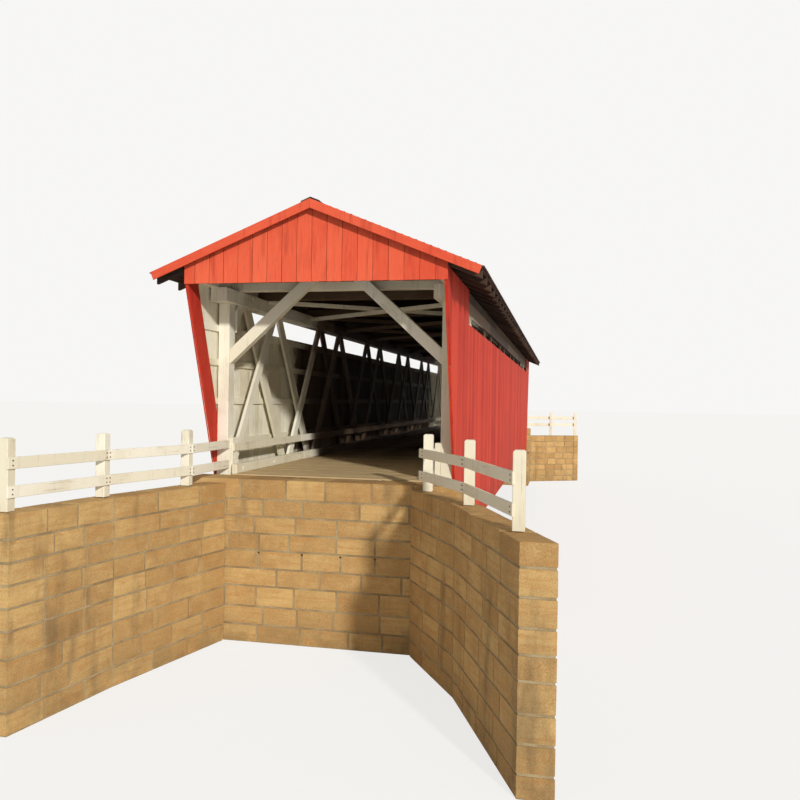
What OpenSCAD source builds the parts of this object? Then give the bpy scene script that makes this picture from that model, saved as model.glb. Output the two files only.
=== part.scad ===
// Single-lane timber covered bridge: two trusses of crossing timbers carry a plank floor
// between stone abutments, under a gabled roof, with board siding and white approach rails.
// Heights in the modules are measured from the top of the floor planks, and lengths from the
// near top corner of the siding; place() moves all of it into the part's own frame.

/* [Span] */
// Spacing of the truss panels, from one apex of a system to its next
panel = 5460; // [5200:10:5600]
// Distance from the near top corner of the siding to the first apex
first_apex = 4260; // [4100:10:4400]
// Distance from the first apex to the first apex of the second, interleaved system
apex_offset = 3480; // [3300:10:3600]
// Height of the floor above the foot of the abutments
floor_height = 3200; // [2800:50:3600]

/* [House] */
// Outer width over the siding boards
house_w = 5100; // [5000:10:5200]
// Thickness of the siding boards
board_t = 25; // [20:1:35]
// Depth of the nailing strips between siding and truss
girt_t = 40; // [35:1:45]
// Height of the gable boards' lower edge over the floor
gable_foot = 3740; // [3700:10:3760]
// Height of the roof's ridge over the floor
ridge_height = 5260; // [5200:10:5400]
// Half width of the roof, out to the eave
roof_half = 3215; // [3150:5:3300]
// Height of the roof's top face at the eave
eave_height = 3952; // [3930:1:3980]
// Overhang of the roof beyond the gable boards
roof_overhang = 130; // [80:10:200]
// Length of the end bays whose siding runs up to the roof
end_bay = 3200; // [2900:50:3600]
// Distance by which the portal's foot stands back from its head
portal_rake = 1390; // [1340:10:1395]
// Height of the left siding over the floor
siding_top_left = 3130; // [3050:10:3250]
// Height of the right siding over the floor
siding_top_right = 3260; // [3150:10:3350]
// Depth to which the siding hangs below the floor
siding_drop = 1380; // [1300:10:1390]
// Width of the raked boards that line the portal's edges on the inside
jamb_w = 450; // [400:10:500]

/* [Trusses] */
// Thickness of one leaf of a chord
leaf_t = 75; // [70:1:80]
// Thickness of the web timbers between the leaves
web_t = 65; // [60:1:70]
// Width of the outer web timbers, seen from the side
brace_w = 300; // [260:10:320]
// Width of the inner web timbers, seen from the side
counter_w = 250; // [200:10:280]
// Sideways lean of the web timbers for each unit of height
web_lean = 0.68; // [0.6:0.01:0.72]
// Distance from an apex to the head of each of its two web timbers, which stand side by side
apex_spread = 240; // [200:10:280]
// Underside of the top chord over the floor
top_chord_foot = 3540; // [3520:10:3560]
// Depth of the top chord
top_chord_h = 280; // [260:10:280]
// Depth of the bottom chord
bottom_chord_h = 330; // [300:10:340]
// Distance from the siding's corner to the front of the end posts
post_front = 1400; // [1380:10:1450]
// Length of the end posts along the bridge
post_l = 300; // [260:10:320]
// Width of the end posts across the bridge
post_w = 240; // [215:5:300]

/* [Floor] */
// Thickness of the floor planks
plank_t = 80; // [70:5:100]
// Depth of the stringers under the planks
stringer_h = 220; // [200:10:240]
// Depth of the floor beams
floor_beam_h = 420; // [380:10:440]
// Half width of the roadway between the curbs
road_half = 1990; // [1950:5:2000]
// Height of the curbs over the floor
curb_h = 195; // [150:5:220]
// Height of the guard rails' lower edge over the floor
guard_foot = 460; // [400:10:500]
// Height of the blocks beside the end posts' feet, where the guard rails start
foot_block_top = 740; // [680:10:780]

/* [Approaches] */
// Reach of the near wing walls in front of the siding's corner
near_reach = 4250; // [4200:10:4350]
// Reach of the far wing walls behind the siding's far corner
far_reach = 1450; // [1400:10:1480]
// Thickness of the wing walls
wing_t = 500; // [450:10:550]
// Side of the square rail posts
rail_post = 165; // [140:5:180]
// Height of the rail posts over the ground
rail_post_h = 1040; // [1000:10:1080]
// Level of the approach road under the floor
ground_drop = 80; // [60:5:100]

/* [Hidden] */

// Colours
RED = [0.75, 0.16, 0.10];
WHITE = [0.93, 0.91, 0.82];
TIMBER = [0.55, 0.45, 0.34];
OLD_TIMBER = [0.36, 0.29, 0.23];
STONE = [0.74, 0.59, 0.34];
SHINGLE = [0.26, 0.22, 0.19];

// Length
panels = 4;
house_l = 2 * first_apex + apex_offset + panels * panel;
middle_y = (house_l + far_reach - near_reach) / 2;

// Widths
half_w = house_w / 2;
truss_out = half_w - board_t - girt_t;
truss_t = 3 * leaf_t + 2 * web_t;
truss_in = truss_out - truss_t;
post_in = truss_out - post_w;
leaf_step = leaf_t + web_t;

// Levels under the floor
stringer_top = -plank_t;
floor_beam_top = stringer_top - stringer_h;
bottom_chord_top = floor_beam_top - floor_beam_h;
bottom_chord_foot = bottom_chord_top - bottom_chord_h;
bed_h = 350;
seat = bottom_chord_foot - bed_h;

// Levels under the roof
top_chord_top = top_chord_foot + top_chord_h;
roof_fall = (ridge_height - eave_height) / roof_half;
roof_angle = atan(roof_fall);
shingle_t = 40;
roof_board_t = 25;
rafter_h = 140;
shingle_dz = shingle_t / cos(roof_angle);
roof_board_dz = roof_board_t / cos(roof_angle);
rafter_dz = rafter_h / cos(roof_angle);
rafter_top_dz = shingle_dz + roof_board_dz;
rafter_foot_dz = rafter_top_dz + rafter_dz;

// Abutments
abutment_half = 2750;
backwall_front = 550;
backwall_back = 1300;
seat_end = 3100;
base = -floor_height;

// Rails beside the approaches: plan places of the posts, distance from the middle and length
near_left_posts = [[2310, -250], [2800, -2200], [3120, -4050]];
near_right_posts = [[2190, 340], [3140, -1270], [4050, -3530]];
far_posts = [[2450, -250], [3900, 460], [5350, 1170]];
rail_overrun = 180;
rail_w = 170;
rail_t = 40;
rail_low = 190;
rail_high = 600;
far_ground_drop = 450;
post_chamfer = 25;

// Cross timbers at the level of the top chords
knee_w = 200;
knee_foot = 2280;
knee_head = 702;
knee_slot = 320;
tie_h = 180;
tie_w = 200;
plate_w = 160;
knee_front = post_front + 50;

// Bays of crossed braces between the top chords; lateral_w is measured along the chord
bays = 8;
bay_start = 3200;
bay_l = (house_l - 2 * bay_start) / bays;
bay_gap = 120;
lateral_w = 160;
lateral_h = 90;
lateral_foot = top_chord_top - 140;

// Floor
floor_start = backwall_back + 10;
floor_end = house_l - floor_start;
floor_beams_n = 13;
floor_beam_w = 250;
first_floor_beam = 1950;
floor_beam_step = (house_l - 2 * first_floor_beam - floor_beam_w) / (floor_beams_n - 1);
stringer_w = 150;
stringer_step = 600;
bed_places = [1450, 2350];
bed_w = 250;

// Roof
ridge_board_t = 40;
rafters_n = 41;
rafter_w = 90;
rafter_tail = 60;
first_rafter = board_t + 30;
rafter_step = (house_l - 2 * first_rafter - rafter_w) / (rafters_n - 1);
cap_w = 180;
cap_t = 22;
barge_h = 160;
barge_t = 30;
barge_drop = 15;
barge_dz = barge_h / cos(roof_angle);
barge_tip = roof_half - 40;
barge_heel = barge_tip - barge_h * sin(roof_angle);

// Nailing strips and the raked jamb boards
girt_w = 140;
girt_levels = [-1100, -300, 550, 1430, 2240, 2950];
jamb_foot = -1200;
chord_tail = 400;
// Play between two pieces of a node that stay apart
fit_gap = 1;

// Height of the roof's top face at a distance from the ridge
function roof_z(x) = ridge_height - roof_fall * abs(x);
// Place of the raked portal edge at a height over the floor
function rake_y(z) = portal_rake * (gable_foot - z) / gable_foot;
// Place where a nailing strip starts behind the jamb board, at a height over the floor
function girt_start(z) = rake_y(z) + board_t + jamb_w;
// Distance of a bent row of three posts from the middle of the road at a length
function post_x(p, y) = let (k = y > p[1][1] ? 0 : 2)
    p[1][0] + (p[k][0] - p[1][0]) * (y - p[1][1]) / (p[k][1] - p[1][1]);
// The place a distance past b on the line from a to b
function past(a, b, d) = b + (b - a) / norm(b - a) * d;
// Apex places of the two web systems
function apexes(start, count) = [for (k = [0 : count - 1]) start + k * panel];

module place() translate([0, -middle_y, floor_height]) children();
module right() children();
module left() mirror([1, 0, 0]) children();
module far_end() translate([0, house_l, 0]) mirror([0, 1, 0]) children();
module both_sides() { right() children(); left() children(); }
module both_ends() { children(); far_end() children(); }

// A plate with its outline in the side view (length, height), from x to x + t
module side_plate(x, t, outline)
    translate([x, 0, 0]) rotate([90, 0, 90]) linear_extrude(t) polygon(outline);

// A plate with its outline in the front view (width, height), from y to y + t
module front_plate(y, t, outline)
    translate([0, y + t, 0]) rotate([90, 0, 0]) linear_extrude(t) polygon(outline);

// A plate with its outline in plan (width, length), from z0 up to z1
module plan_plate(z0, z1, outline)
    translate([0, 0, z0]) linear_extrude(z1 - z0) polygon(outline);

module box(x0, x1, y0, y1, z0, z1)
    translate([x0, y0, z0]) cube([x1 - x0, y1 - y0, z1 - z0]);

// The end's masonry: a seat for the trusses and a backwall up to the floor
module abutment()
    color(STONE)
    translate([-abutment_half, 0, 0])
    side_plate(0, 2 * abutment_half,
               [[backwall_front, base], [seat_end, base], [seat_end, seat], [backwall_back, seat],
                [backwall_back, 0], [backwall_front, 0]]);

// The near road's side wall, under the line of the rail posts
module near_wing(posts) {
    places = [backwall_front, posts[1][1], -near_reach];
    inner = [for (y = places) [post_x(posts, y) - wing_t / 2, y]];
    outer = [for (k = [2 : -1 : 0]) [post_x(posts, places[k]) + wing_t / 2, places[k]]];
    color(STONE) plan_plate(base, -ground_drop, concat(inner, outer));
}

// The far road's side wall, flaring more; lengths are from the siding's far corner
module far_wing()
    color(STONE)
    plan_plate(base, -far_ground_drop,
               [[abutment_half - wing_t, -backwall_front], [abutment_half, -backwall_front],
                [far_posts[2][0] + 200, far_reach - wing_t], [far_posts[2][0] + 200, far_reach],
                [far_posts[2][0] - 50, far_reach], [abutment_half - wing_t, -backwall_front + wing_t]]);

module near_abutment() place() abutment();
module far_abutment() place() far_end() abutment();
module near_left_wing_wall() place() left() near_wing(near_left_posts);
module near_right_wing_wall() place() right() near_wing(near_right_posts);
module far_left_wing_wall() place() translate([0, house_l, 0]) left() far_wing();
module far_right_wing_wall() place() translate([0, house_l, 0]) right() far_wing();

module bed_timbers()
    place() color(OLD_TIMBER) both_ends()
    for (y = bed_places)
        box(-truss_out, truss_out, y, y + bed_w, seat, bottom_chord_foot);

// The three leaves of a chord, on the right-hand side
module chord_leaves(y0, y1, z0, z1)
    for (k = [0 : 2])
        box(truss_in + k * leaf_step, truss_in + k * leaf_step + leaf_t, y0, y1, z0, z1);

module bottom_chord()
    color(OLD_TIMBER)
    chord_leaves(post_front, house_l - post_front, bottom_chord_foot, bottom_chord_top);

// The top chord's leaves run on past the end posts, with packing between them there
module top_chord()
    color(WHITE) {
        chord_leaves(post_front - chord_tail, house_l - post_front + chord_tail,
                     top_chord_foot, top_chord_top);
        both_ends()
            for (k = [0 : 1])
                box(truss_in + k * leaf_step + leaf_t + fit_gap, truss_in + (k + 1) * leaf_step - fit_gap,
                    post_front - chord_tail, post_front + post_l, top_chord_foot, top_chord_top);
    }

module left_bottom_chord() place() left() bottom_chord();
module right_bottom_chord() place() right() bottom_chord();
module left_top_chord() place() left() top_chord();
module right_top_chord() place() right() top_chord();

// Each post has a short block at its foot, on the road side
module end_posts()
    place() color(WHITE) both_ends() both_sides() {
        box(post_in, truss_out, post_front, post_front + post_l, bottom_chord_top, top_chord_foot);
        box(truss_in, post_in, post_front, post_front + post_l, bottom_chord_top, foot_block_top);
    }

// One inclined web timber with level ends, from an apex at the top chord down one way
module web_timber(apex, way, width) {
    rise = top_chord_top - bottom_chord_foot;
    head = apex + way * (apex_spread - web_lean * top_chord_h / 2);
    level_w = width * sqrt(1 + web_lean * web_lean);
    foot = head + way * web_lean * rise;
    polygon([[head - level_w / 2, top_chord_top], [head + level_w / 2, top_chord_top],
             [foot + level_w / 2, bottom_chord_foot], [foot - level_w / 2, bottom_chord_foot]]);
}

// A layer of web timbers, cut off square at the end posts
module web_layer(x, way, width)
    for (apex = concat(apexes(first_apex, panels + 1), apexes(first_apex + apex_offset - panel, panels + 3)))
        translate([x, 0, 0]) rotate([90, 0, 90]) linear_extrude(web_t)
        intersection() {
            web_timber(apex, way, width);
            translate([post_front + post_l, bottom_chord_foot])
                square([house_l - 2 * (post_front + post_l), top_chord_top - bottom_chord_foot]);
        }

module braces() color(WHITE) web_layer(truss_in + 2 * leaf_t + web_t, 1, brace_w);
module counters() color(WHITE) web_layer(truss_in + leaf_t, -1, counter_w);

module left_braces() place() left() braces();
module left_counters() place() left() counters();
module right_braces() place() right() braces();
module right_counters() place() right() counters();

// Each floor beam rests on the inner leaves of the two bottom chords
module floor_beams()
    place() color(OLD_TIMBER)
    for (k = [0 : floor_beams_n - 1])
        translate([0, first_floor_beam + k * floor_beam_step, 0])
        box(-truss_in - leaf_t, truss_in + leaf_t, 0, floor_beam_w, bottom_chord_top, floor_beam_top);

module stringers()
    place() color(OLD_TIMBER)
    for (k = [-3 : 3])
        translate([k * stringer_step, 0, 0])
        box(-stringer_w / 2, stringer_w / 2, floor_start, floor_end, floor_beam_top, stringer_top);

module floor_planks()
    place() color(TIMBER)
    box(-truss_in + 20, truss_in - 20, floor_start, floor_end, -plank_t, 0);

module curbs()
    place() color(WHITE) both_sides()
    box(road_half, truss_in - 20, floor_start, floor_end, 0, curb_h);

module guard_rails()
    place() color(WHITE) both_sides()
    box(truss_in - rail_t, truss_in, post_front, house_l - post_front, guard_foot, guard_foot + rail_w);

// The knees lap over the front of the outermost tie beams
module portal_knees()
    place() color(WHITE) both_ends() both_sides()
    front_plate(knee_front, knee_w,
                [[post_in, knee_foot], [post_in, knee_foot + knee_slot],
                 [knee_head, top_chord_top + tie_h], [knee_head - knee_slot, top_chord_top + tie_h]]);

// One tie beam stands behind the knees at each end, the others at the ends of the braced bays
module tie_beams()
    place() color(WHITE)
    for (y = concat([knee_front + knee_w], [for (k = [0 : bays]) bay_start + k * bay_l - tie_w / 2],
                    [house_l - knee_front - knee_w - tie_w]))
        box(-truss_out + plate_w, truss_out - plate_w, y, y + tie_w, top_chord_top, top_chord_top + tie_h);

// One diagonal in every bay, from side to side between the top chords; way is 1 or -1
module lateral_layer(z0, way)
    for (k = [0 : bays - 1]) {
        x0 = way * truss_in;
        y0 = bay_start + k * bay_l + bay_gap;
        y1 = bay_start + (k + 1) * bay_l - bay_gap;
        plan_plate(z0, z0 + lateral_h,
                   [[-x0, y0], [-x0, y0 + lateral_w], [x0, y1], [x0, y1 - lateral_w]]);
    }

module lower_lateral_braces() place() color(WHITE) lateral_layer(lateral_foot, -1);
module upper_lateral_braces() place() color(WHITE) lateral_layer(lateral_foot + lateral_h, 1);

// Sloping beams that carry the rafters, their tops cut to the roof's pitch
module wall_plates()
    place() color(WHITE) both_sides()
    front_plate(board_t, house_l - 2 * board_t,
                [[truss_out - plate_w, top_chord_top], [truss_out, top_chord_top],
                 [truss_out, roof_z(truss_out) - rafter_foot_dz],
                 [truss_out - plate_w, roof_z(truss_out - plate_w) - rafter_foot_dz]]);

module rafter(y)
    front_plate(y, rafter_w,
                [[ridge_board_t / 2, roof_z(ridge_board_t / 2) - rafter_top_dz],
                 [ridge_board_t / 2, roof_z(ridge_board_t / 2) - rafter_foot_dz],
                 [roof_half - rafter_tail, roof_z(roof_half - rafter_tail) - rafter_foot_dz],
                 [roof_half - rafter_tail, roof_z(roof_half - rafter_tail) - rafter_top_dz]]);

module rafters()
    place() color(TIMBER) both_sides()
    for (k = [0 : rafters_n - 1])
        rafter(first_rafter + k * rafter_step);

module ridge_board()
    place() color(TIMBER)
    box(-ridge_board_t / 2, ridge_board_t / 2, board_t, house_l - board_t,
        ridge_height - rafter_foot_dz - 40, roof_z(ridge_board_t / 2) - rafter_top_dz);

// Strips along the wall between the jamb boards, and a short one under the eave of each end bay
module girts()
    color(TIMBER) {
        for (z = girt_levels)
            side_plate(truss_out, girt_t,
                       [[girt_start(z), z], [house_l - girt_start(z), z],
                        [house_l - girt_start(z + girt_w), z + girt_w],
                        [girt_start(z + girt_w), z + girt_w]]);
        both_ends()
            box(truss_out, truss_out + girt_t, board_t, end_bay, top_chord_top, top_chord_top + girt_w);
    }

module left_girts() place() left() girts();
module right_girts() place() right() girts();

module siding(top)
    color(RED)
    box(half_w - board_t, half_w, end_bay, house_l - end_bay, -siding_drop, top);

// The end bay's boards run from the raked portal edge to the step, and up under the roof;
// a jamb board lines the raked edge on the inside
module end_siding()
    color(RED) {
        side_plate(half_w - board_t, board_t,
                   [[rake_y(gable_foot) + board_t, gable_foot],
                    [board_t, roof_z(half_w) - rafter_foot_dz],
                    [end_bay, roof_z(half_w) - rafter_foot_dz],
                    [end_bay, -siding_drop], [rake_y(-siding_drop), -siding_drop]]);
        side_plate(truss_out, girt_t,
                   [[rake_y(jamb_foot) + board_t, jamb_foot],
                    [rake_y(jamb_foot) + board_t + jamb_w, jamb_foot],
                    [rake_y(gable_foot) + board_t + jamb_w, gable_foot],
                    [board_t + jamb_w, top_chord_top], [board_t, top_chord_top],
                    [rake_y(gable_foot) + board_t, gable_foot]]);
    }

module left_siding() place() left() siding(siding_top_left);
module right_siding() place() right() siding(siding_top_right);
module left_end_siding() place() both_ends() left() end_siding();
module right_end_siding() place() both_ends() right() end_siding();

module gable()
    color(RED)
    front_plate(0, board_t,
                [[-half_w, gable_foot], [half_w, gable_foot],
                 [half_w, roof_z(half_w) - rafter_top_dz], [0, ridge_height - rafter_top_dz],
                 [-half_w, roof_z(half_w) - rafter_top_dz]]);

module near_gable() place() gable();
module far_gable() place() far_end() gable();

module gable_headers()
    place() color(TIMBER) both_ends()
    box(-truss_out + plate_w, truss_out - plate_w, board_t, board_t + 90, gable_foot + 30, gable_foot + 190);

// One layer of the right-hand roof slope, between two depths under the top face
module roof_layer(d0, d1, x0, x1)
    front_plate(-roof_overhang, house_l + 2 * roof_overhang,
                [[x0, roof_z(x0) - d0], [x1, roof_z(x1) - d0], [x1, roof_z(x1) - d1], [x0, roof_z(x0) - d1]]);

module roof_boards() color(TIMBER) roof_layer(shingle_dz, rafter_top_dz, 0, roof_half - 30);
module shingles() color(SHINGLE) roof_layer(0, shingle_dz, 0, roof_half);

module left_roof_boards() place() left() roof_boards();
module right_roof_boards() place() right() roof_boards();
module left_shingles() place() left() shingles();
module right_shingles() place() right() shingles();

// Two boards that meet over the ridge
module ridge_cap()
    place() color(SHINGLE) both_sides()
    front_plate(-roof_overhang, house_l + 2 * roof_overhang,
                [[fit_gap, roof_z(fit_gap)], [cap_w, roof_z(cap_w)],
                 [cap_w, roof_z(cap_w) + cap_t], [fit_gap, roof_z(fit_gap) + cap_t]]);

// A pair of boards under the roof's end edge, mitred at the ridge and cut square to the slope
module barge_boards()
    color(RED)
    front_plate(-roof_overhang - barge_t, barge_t,
                [[0, ridge_height - barge_drop], [barge_tip, roof_z(barge_tip) - barge_drop],
                 [barge_heel, roof_z(barge_heel) - barge_drop - barge_dz],
                 [0, ridge_height - barge_drop - barge_dz],
                 [-barge_heel, roof_z(barge_heel) - barge_drop - barge_dz],
                 [-barge_tip, roof_z(barge_tip) - barge_drop]]);

module near_barge_boards() place() barge_boards();
module far_barge_boards() place() far_end() barge_boards();

// A square rail post whose head is chamfered on all four sides
module rail_post(foot) {
    half = rail_post / 2;
    top = rail_post_h - ground_drop;
    outline = [[-half, foot], [half, foot], [half, top - post_chamfer], [half - post_chamfer, top],
               [post_chamfer - half, top], [-half, top - post_chamfer]];
    intersection() {
        front_plate(-half, rail_post, outline);
        side_plate(-half, rail_post, outline);
    }
}

// A board between two plan points, on the road side of the posts
module rail_board(a, b, z) {
    d = b - a;
    n = [-abs(d[1]), d[0] * sign(d[1])] / norm(d);
    inner = n * (rail_post / 2 - 5);
    outer = n * (rail_post / 2 + rail_t);
    plan_plate(z, z + rail_w, [a + inner, b + inner, b + outer, a + outer]);
}

// Posts, and two rails through the points of a line
module approach_rail(posts, line, foot)
    color(WHITE) {
        for (p = posts) translate([p[0], p[1], 0]) rail_post(foot);
        for (k = [0 : len(line) - 2])
            for (z = [rail_low - ground_drop, rail_high - ground_drop])
                rail_board(line[k], line[k + 1], z);
    }

// The left rails run on to the end post, and the right ones end a little past their first post
module approach_rails() {
    l = near_left_posts;
    r = near_right_posts;
    f = far_posts;
    half = rail_post / 2;
    place() {
        left() approach_rail(l, [[l[0][0], post_front], l[0], l[1], past(l[1], l[2], half)], -ground_drop);
        right() approach_rail(r, [past(r[1], r[0], rail_overrun), r[1], past(r[1], r[2], half)],
                              -ground_drop);
        translate([0, house_l, 0]) both_sides()
            approach_rail(f, [past(f[1], f[0], half), f[1], past(f[1], f[2], half)], -far_ground_drop);
    }
}

near_abutment();
far_abutment();
near_left_wing_wall();
near_right_wing_wall();
far_left_wing_wall();
far_right_wing_wall();
bed_timbers();
left_bottom_chord();
right_bottom_chord();
left_top_chord();
right_top_chord();
end_posts();
left_braces();
left_counters();
right_braces();
right_counters();
floor_beams();
stringers();
floor_planks();
curbs();
guard_rails();
portal_knees();
tie_beams();
lower_lateral_braces();
upper_lateral_braces();
wall_plates();
rafters();
ridge_board();
left_girts();
right_girts();
left_siding();
right_siding();
left_end_siding();
right_end_siding();
near_gable();
far_gable();
gable_headers();
left_roof_boards();
right_roof_boards();
left_shingles();
right_shingles();
ridge_cap();
near_barge_boards();
far_barge_boards();
approach_rails();
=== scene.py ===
"""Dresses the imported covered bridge: boards, timbers, shingles, planks and stones with their materials.

Lengths are in metres. Places in the functions below are measured as in the part's source: X from the
middle of the road, Y from the near top corner of the siding, and Z from the top of the floor planks.
"""
import math
import random

import bpy
from mathutils import Matrix, Vector, noise

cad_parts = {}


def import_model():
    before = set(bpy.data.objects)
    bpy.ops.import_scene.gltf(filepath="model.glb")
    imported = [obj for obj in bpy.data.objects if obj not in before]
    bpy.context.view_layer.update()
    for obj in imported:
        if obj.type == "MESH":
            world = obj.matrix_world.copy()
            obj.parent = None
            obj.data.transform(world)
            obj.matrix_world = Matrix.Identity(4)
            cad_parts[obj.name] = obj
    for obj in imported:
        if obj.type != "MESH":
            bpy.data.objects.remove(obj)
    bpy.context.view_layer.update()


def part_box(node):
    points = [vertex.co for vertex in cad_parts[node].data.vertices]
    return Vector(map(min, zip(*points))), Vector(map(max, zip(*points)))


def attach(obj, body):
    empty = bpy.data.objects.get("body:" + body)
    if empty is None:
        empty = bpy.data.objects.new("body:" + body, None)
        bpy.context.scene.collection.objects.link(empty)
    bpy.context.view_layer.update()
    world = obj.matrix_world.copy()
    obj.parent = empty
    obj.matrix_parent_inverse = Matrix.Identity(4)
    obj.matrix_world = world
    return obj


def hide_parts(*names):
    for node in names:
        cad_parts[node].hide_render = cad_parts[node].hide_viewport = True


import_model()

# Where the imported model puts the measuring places
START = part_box("near_gable")[0].y
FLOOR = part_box("floor_planks")[1].z
ORIGIN = Vector((0, START, FLOOR))
HOUSE_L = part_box("far_gable")[1].y - START
HALF_L = HOUSE_L / 2
BASE = -FLOOR

# House
HALF_W = 2.55
BOARD_T = 0.025
GIRT_T = 0.04
GIRT_W = 0.14
GIRT_LEVELS = (-1.1, -0.3, 0.55, 1.43, 2.24, 2.95)
NAIL_LEVELS = tuple(z + GIRT_W / 2 for z in GIRT_LEVELS)
GABLE_FOOT = 3.74
RIDGE = 5.26
ROOF_HALF = 3.215
EAVE = 3.952
OVERHANG = 0.13
END_BAY = 3.2
RAKE = 1.39
TOP_LEFT = 3.13
TOP_RIGHT = 3.26
DROP = 1.38
BOARD_COVER = 0.2915
JAMB_W = 0.45
JAMB_FOOT = -1.2

# Trusses
LEAF_T = 0.075
WEB_T = 0.065
BRACE_W = 0.3
COUNTER_W = 0.25
LEAN = 0.68
SPREAD = 0.24
PANEL = 5.46
FIRST_APEX = 4.26
APEX_OFFSET = 3.48
PANELS = 4
CHORD_FOOT = 3.54
CHORD_H = 0.28
CHORD_TOP = CHORD_FOOT + CHORD_H
LOW_CHORD_H = 0.33
POST_FRONT = 1.4
POST_L = 0.3
POST_BACK = POST_FRONT + POST_L
POST_W = 0.24
KNEE_FRONT = POST_FRONT + 0.05
KNEE_W = 0.2
FOOT_BLOCK_TOP = 0.74
POST_BOLT_LEVELS = (0.08, 0.32)
CHORD_TAIL = 0.4
TRUSS_OUT = HALF_W - BOARD_T - GIRT_T
POST_IN = TRUSS_OUT - POST_W
TRUSS_IN = TRUSS_OUT - 3 * LEAF_T - 2 * WEB_T
LEAF_STEP = LEAF_T + WEB_T

# Overhead
TIE_H = 0.18
TIE_W = 0.2
PLATE_W = 0.16
BAYS = 8
BAY_L = (HOUSE_L - 2 * END_BAY) / BAYS
BAY_GAP = 0.12
LATERAL_W = 0.16
LATERAL_H = 0.09
LATERAL_FOOT = CHORD_TOP - 0.14
HEADER_T = 0.09
HEADER_FOOT = GABLE_FOOT + 0.03
HEADER_TOP = GABLE_FOOT + 0.19

# Floor
PLANK_T = 0.08
STRINGER_H = 0.22
STRINGER_W = 0.15
STRINGER_STEP = 0.6
BEAM_H = 0.42
BEAM_W = 0.25
BEAMS = 13
FIRST_BEAM = 1.95
ROAD_HALF = 1.99
CURB_H = 0.195
CURB_OUT = TRUSS_IN - 0.02
GUARD_FOOT = 0.46
STRINGER_TOP = -PLANK_T
BEAM_TOP = STRINGER_TOP - STRINGER_H
LOW_CHORD_TOP = BEAM_TOP - BEAM_H
LOW_CHORD_FOOT = LOW_CHORD_TOP - LOW_CHORD_H
SEAT = LOW_CHORD_FOOT - 0.35

# Roof
FALL = (RIDGE - EAVE) / ROOF_HALF
ANGLE = math.atan(FALL)
SLOPE_L = ROOF_HALF / math.cos(ANGLE)
RAFTER_H = 0.14
RAFTER_W = 0.09
RAFTERS = 41
DECK_T = 0.065
RAFTER_TOP_DZ = DECK_T / math.cos(ANGLE)
RAFTER_FOOT_DZ = RAFTER_TOP_DZ + RAFTER_H / math.cos(ANGLE)
SHEATHING_T = 0.0245
SHEATHING_GAP = 0.004
EAVE_GAP = 0.03
BARGE_T = 0.03
BARGE_H = 0.16
ROOF_START = -OVERHANG
ROOF_END = HOUSE_L + OVERHANG

# Masonry
ABUT_HALF = 2.75
BACK_FRONT = 0.55
BACK_BACK = 1.3
SEAT_END = 3.1
SEAT_ROWS = ((1.6, 2.5), (1.35, 2.2))
SEAT_COURSE = 0.36
BACK_COURSE = 0.33
WING_COURSE = 0.35
BLOCK_L = 0.85
WING_BLOCK_L = 0.78
CORE_IN = 0.03
STONE_CELL = 0.16
STONE_ROUGH = 0.008
STONE_JOINT = 0.006
STONE_WEAR = 0.009
FLOOR_START = BACK_BACK + 0.01
FLOOR_END = HOUSE_L - FLOOR_START

# Approaches
WING_T = 0.5
RAIL_POST = 0.165
RAIL_POST_H = 1.04
HEAD_EASE = 0.008
POST_HEAD = ((0.025, 0), (0.012, 0.01), (0, 0.025))
GROUND = -0.08
FAR_GROUND = -0.45
RAIL_W = 0.17
RAIL_T = 0.04
RAIL_LOW = 0.19
RAIL_HIGH = 0.6
NEAR_REACH = 4.25
FAR_REACH = 1.45
LEFT_POSTS = [(2.31, -0.25), (2.8, -2.2), (3.12, -4.05)]
RIGHT_POSTS = [(2.19, 0.34), (3.14, -1.27), (4.05, -3.53)]
FAR_POSTS = [(2.45, -0.25), (3.9, 0.46), (5.35, 1.17)]

# About how long the single timbers and boards are, and how wide the planks and caps
LEAF_L = 7.5
PLATE_L = 6.5
GIRT_L = 4.8
STRINGER_L = 6.0
CURB_L = 4.6
GUARD_L = 4.8
RIDGE_L = 5.0
SHEATHING_L = 4.9
SHEATHING_W = 0.2
PLANK_W = 0.255
CAP_L = 0.16

# Where bolts go, as shares of a timber's depth, of a curb's length and of a guard board's length
BOLT_ROWS = (0.3, 0.7)
CURB_BOLTS = (0.08, 0.5, 0.92)
GUARD_BOLTS = (0.03, 0.5, 0.97)

# Joints between pieces, at each end of one
FIT_GAP = 0.001
TIMBER_GAP = 0.002
BOARD_GAP = 0.003

# Camera, fitted to the portal, the eave and the truss openings of the photograph
CAM_PLACE = (4.5839, -13.601, 1.5858)
CAM_YAW = -0.208
CAM_PITCH = -0.0005
CAM_ROLL = -0.0153
CAM_LENS = 34.70
SENSOR = 36.0


def roof_z(x):
    """Height of the roof's top face at a distance from the ridge."""
    return RIDGE - FALL * abs(x)


def rake_y(z):
    """Place of the raked portal edge at a height over the floor."""
    return RAKE * (GABLE_FOOT - z) / GABLE_FOOT


# Outlines


def inset(outline, d):
    """A convex outline moved inwards by d."""
    out = []
    n = len(outline)
    for i in range(n):
        p = Vector(outline[i])
        a = (p - Vector(outline[i - 1])).normalized()
        b = (Vector(outline[(i + 1) % n]) - p).normalized()
        na = Vector((-a.y, a.x))
        nb = Vector((-b.y, b.x))
        out.append(tuple(p + (na + nb) * (d / max(0.2, 1 + na.dot(nb)))))
    return out


def area(outline):
    total = 0
    for (x0, y0), (x1, y1) in zip(outline, outline[1:] + outline[:1]):
        total += x0 * y1 - x1 * y0
    return total / 2


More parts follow.
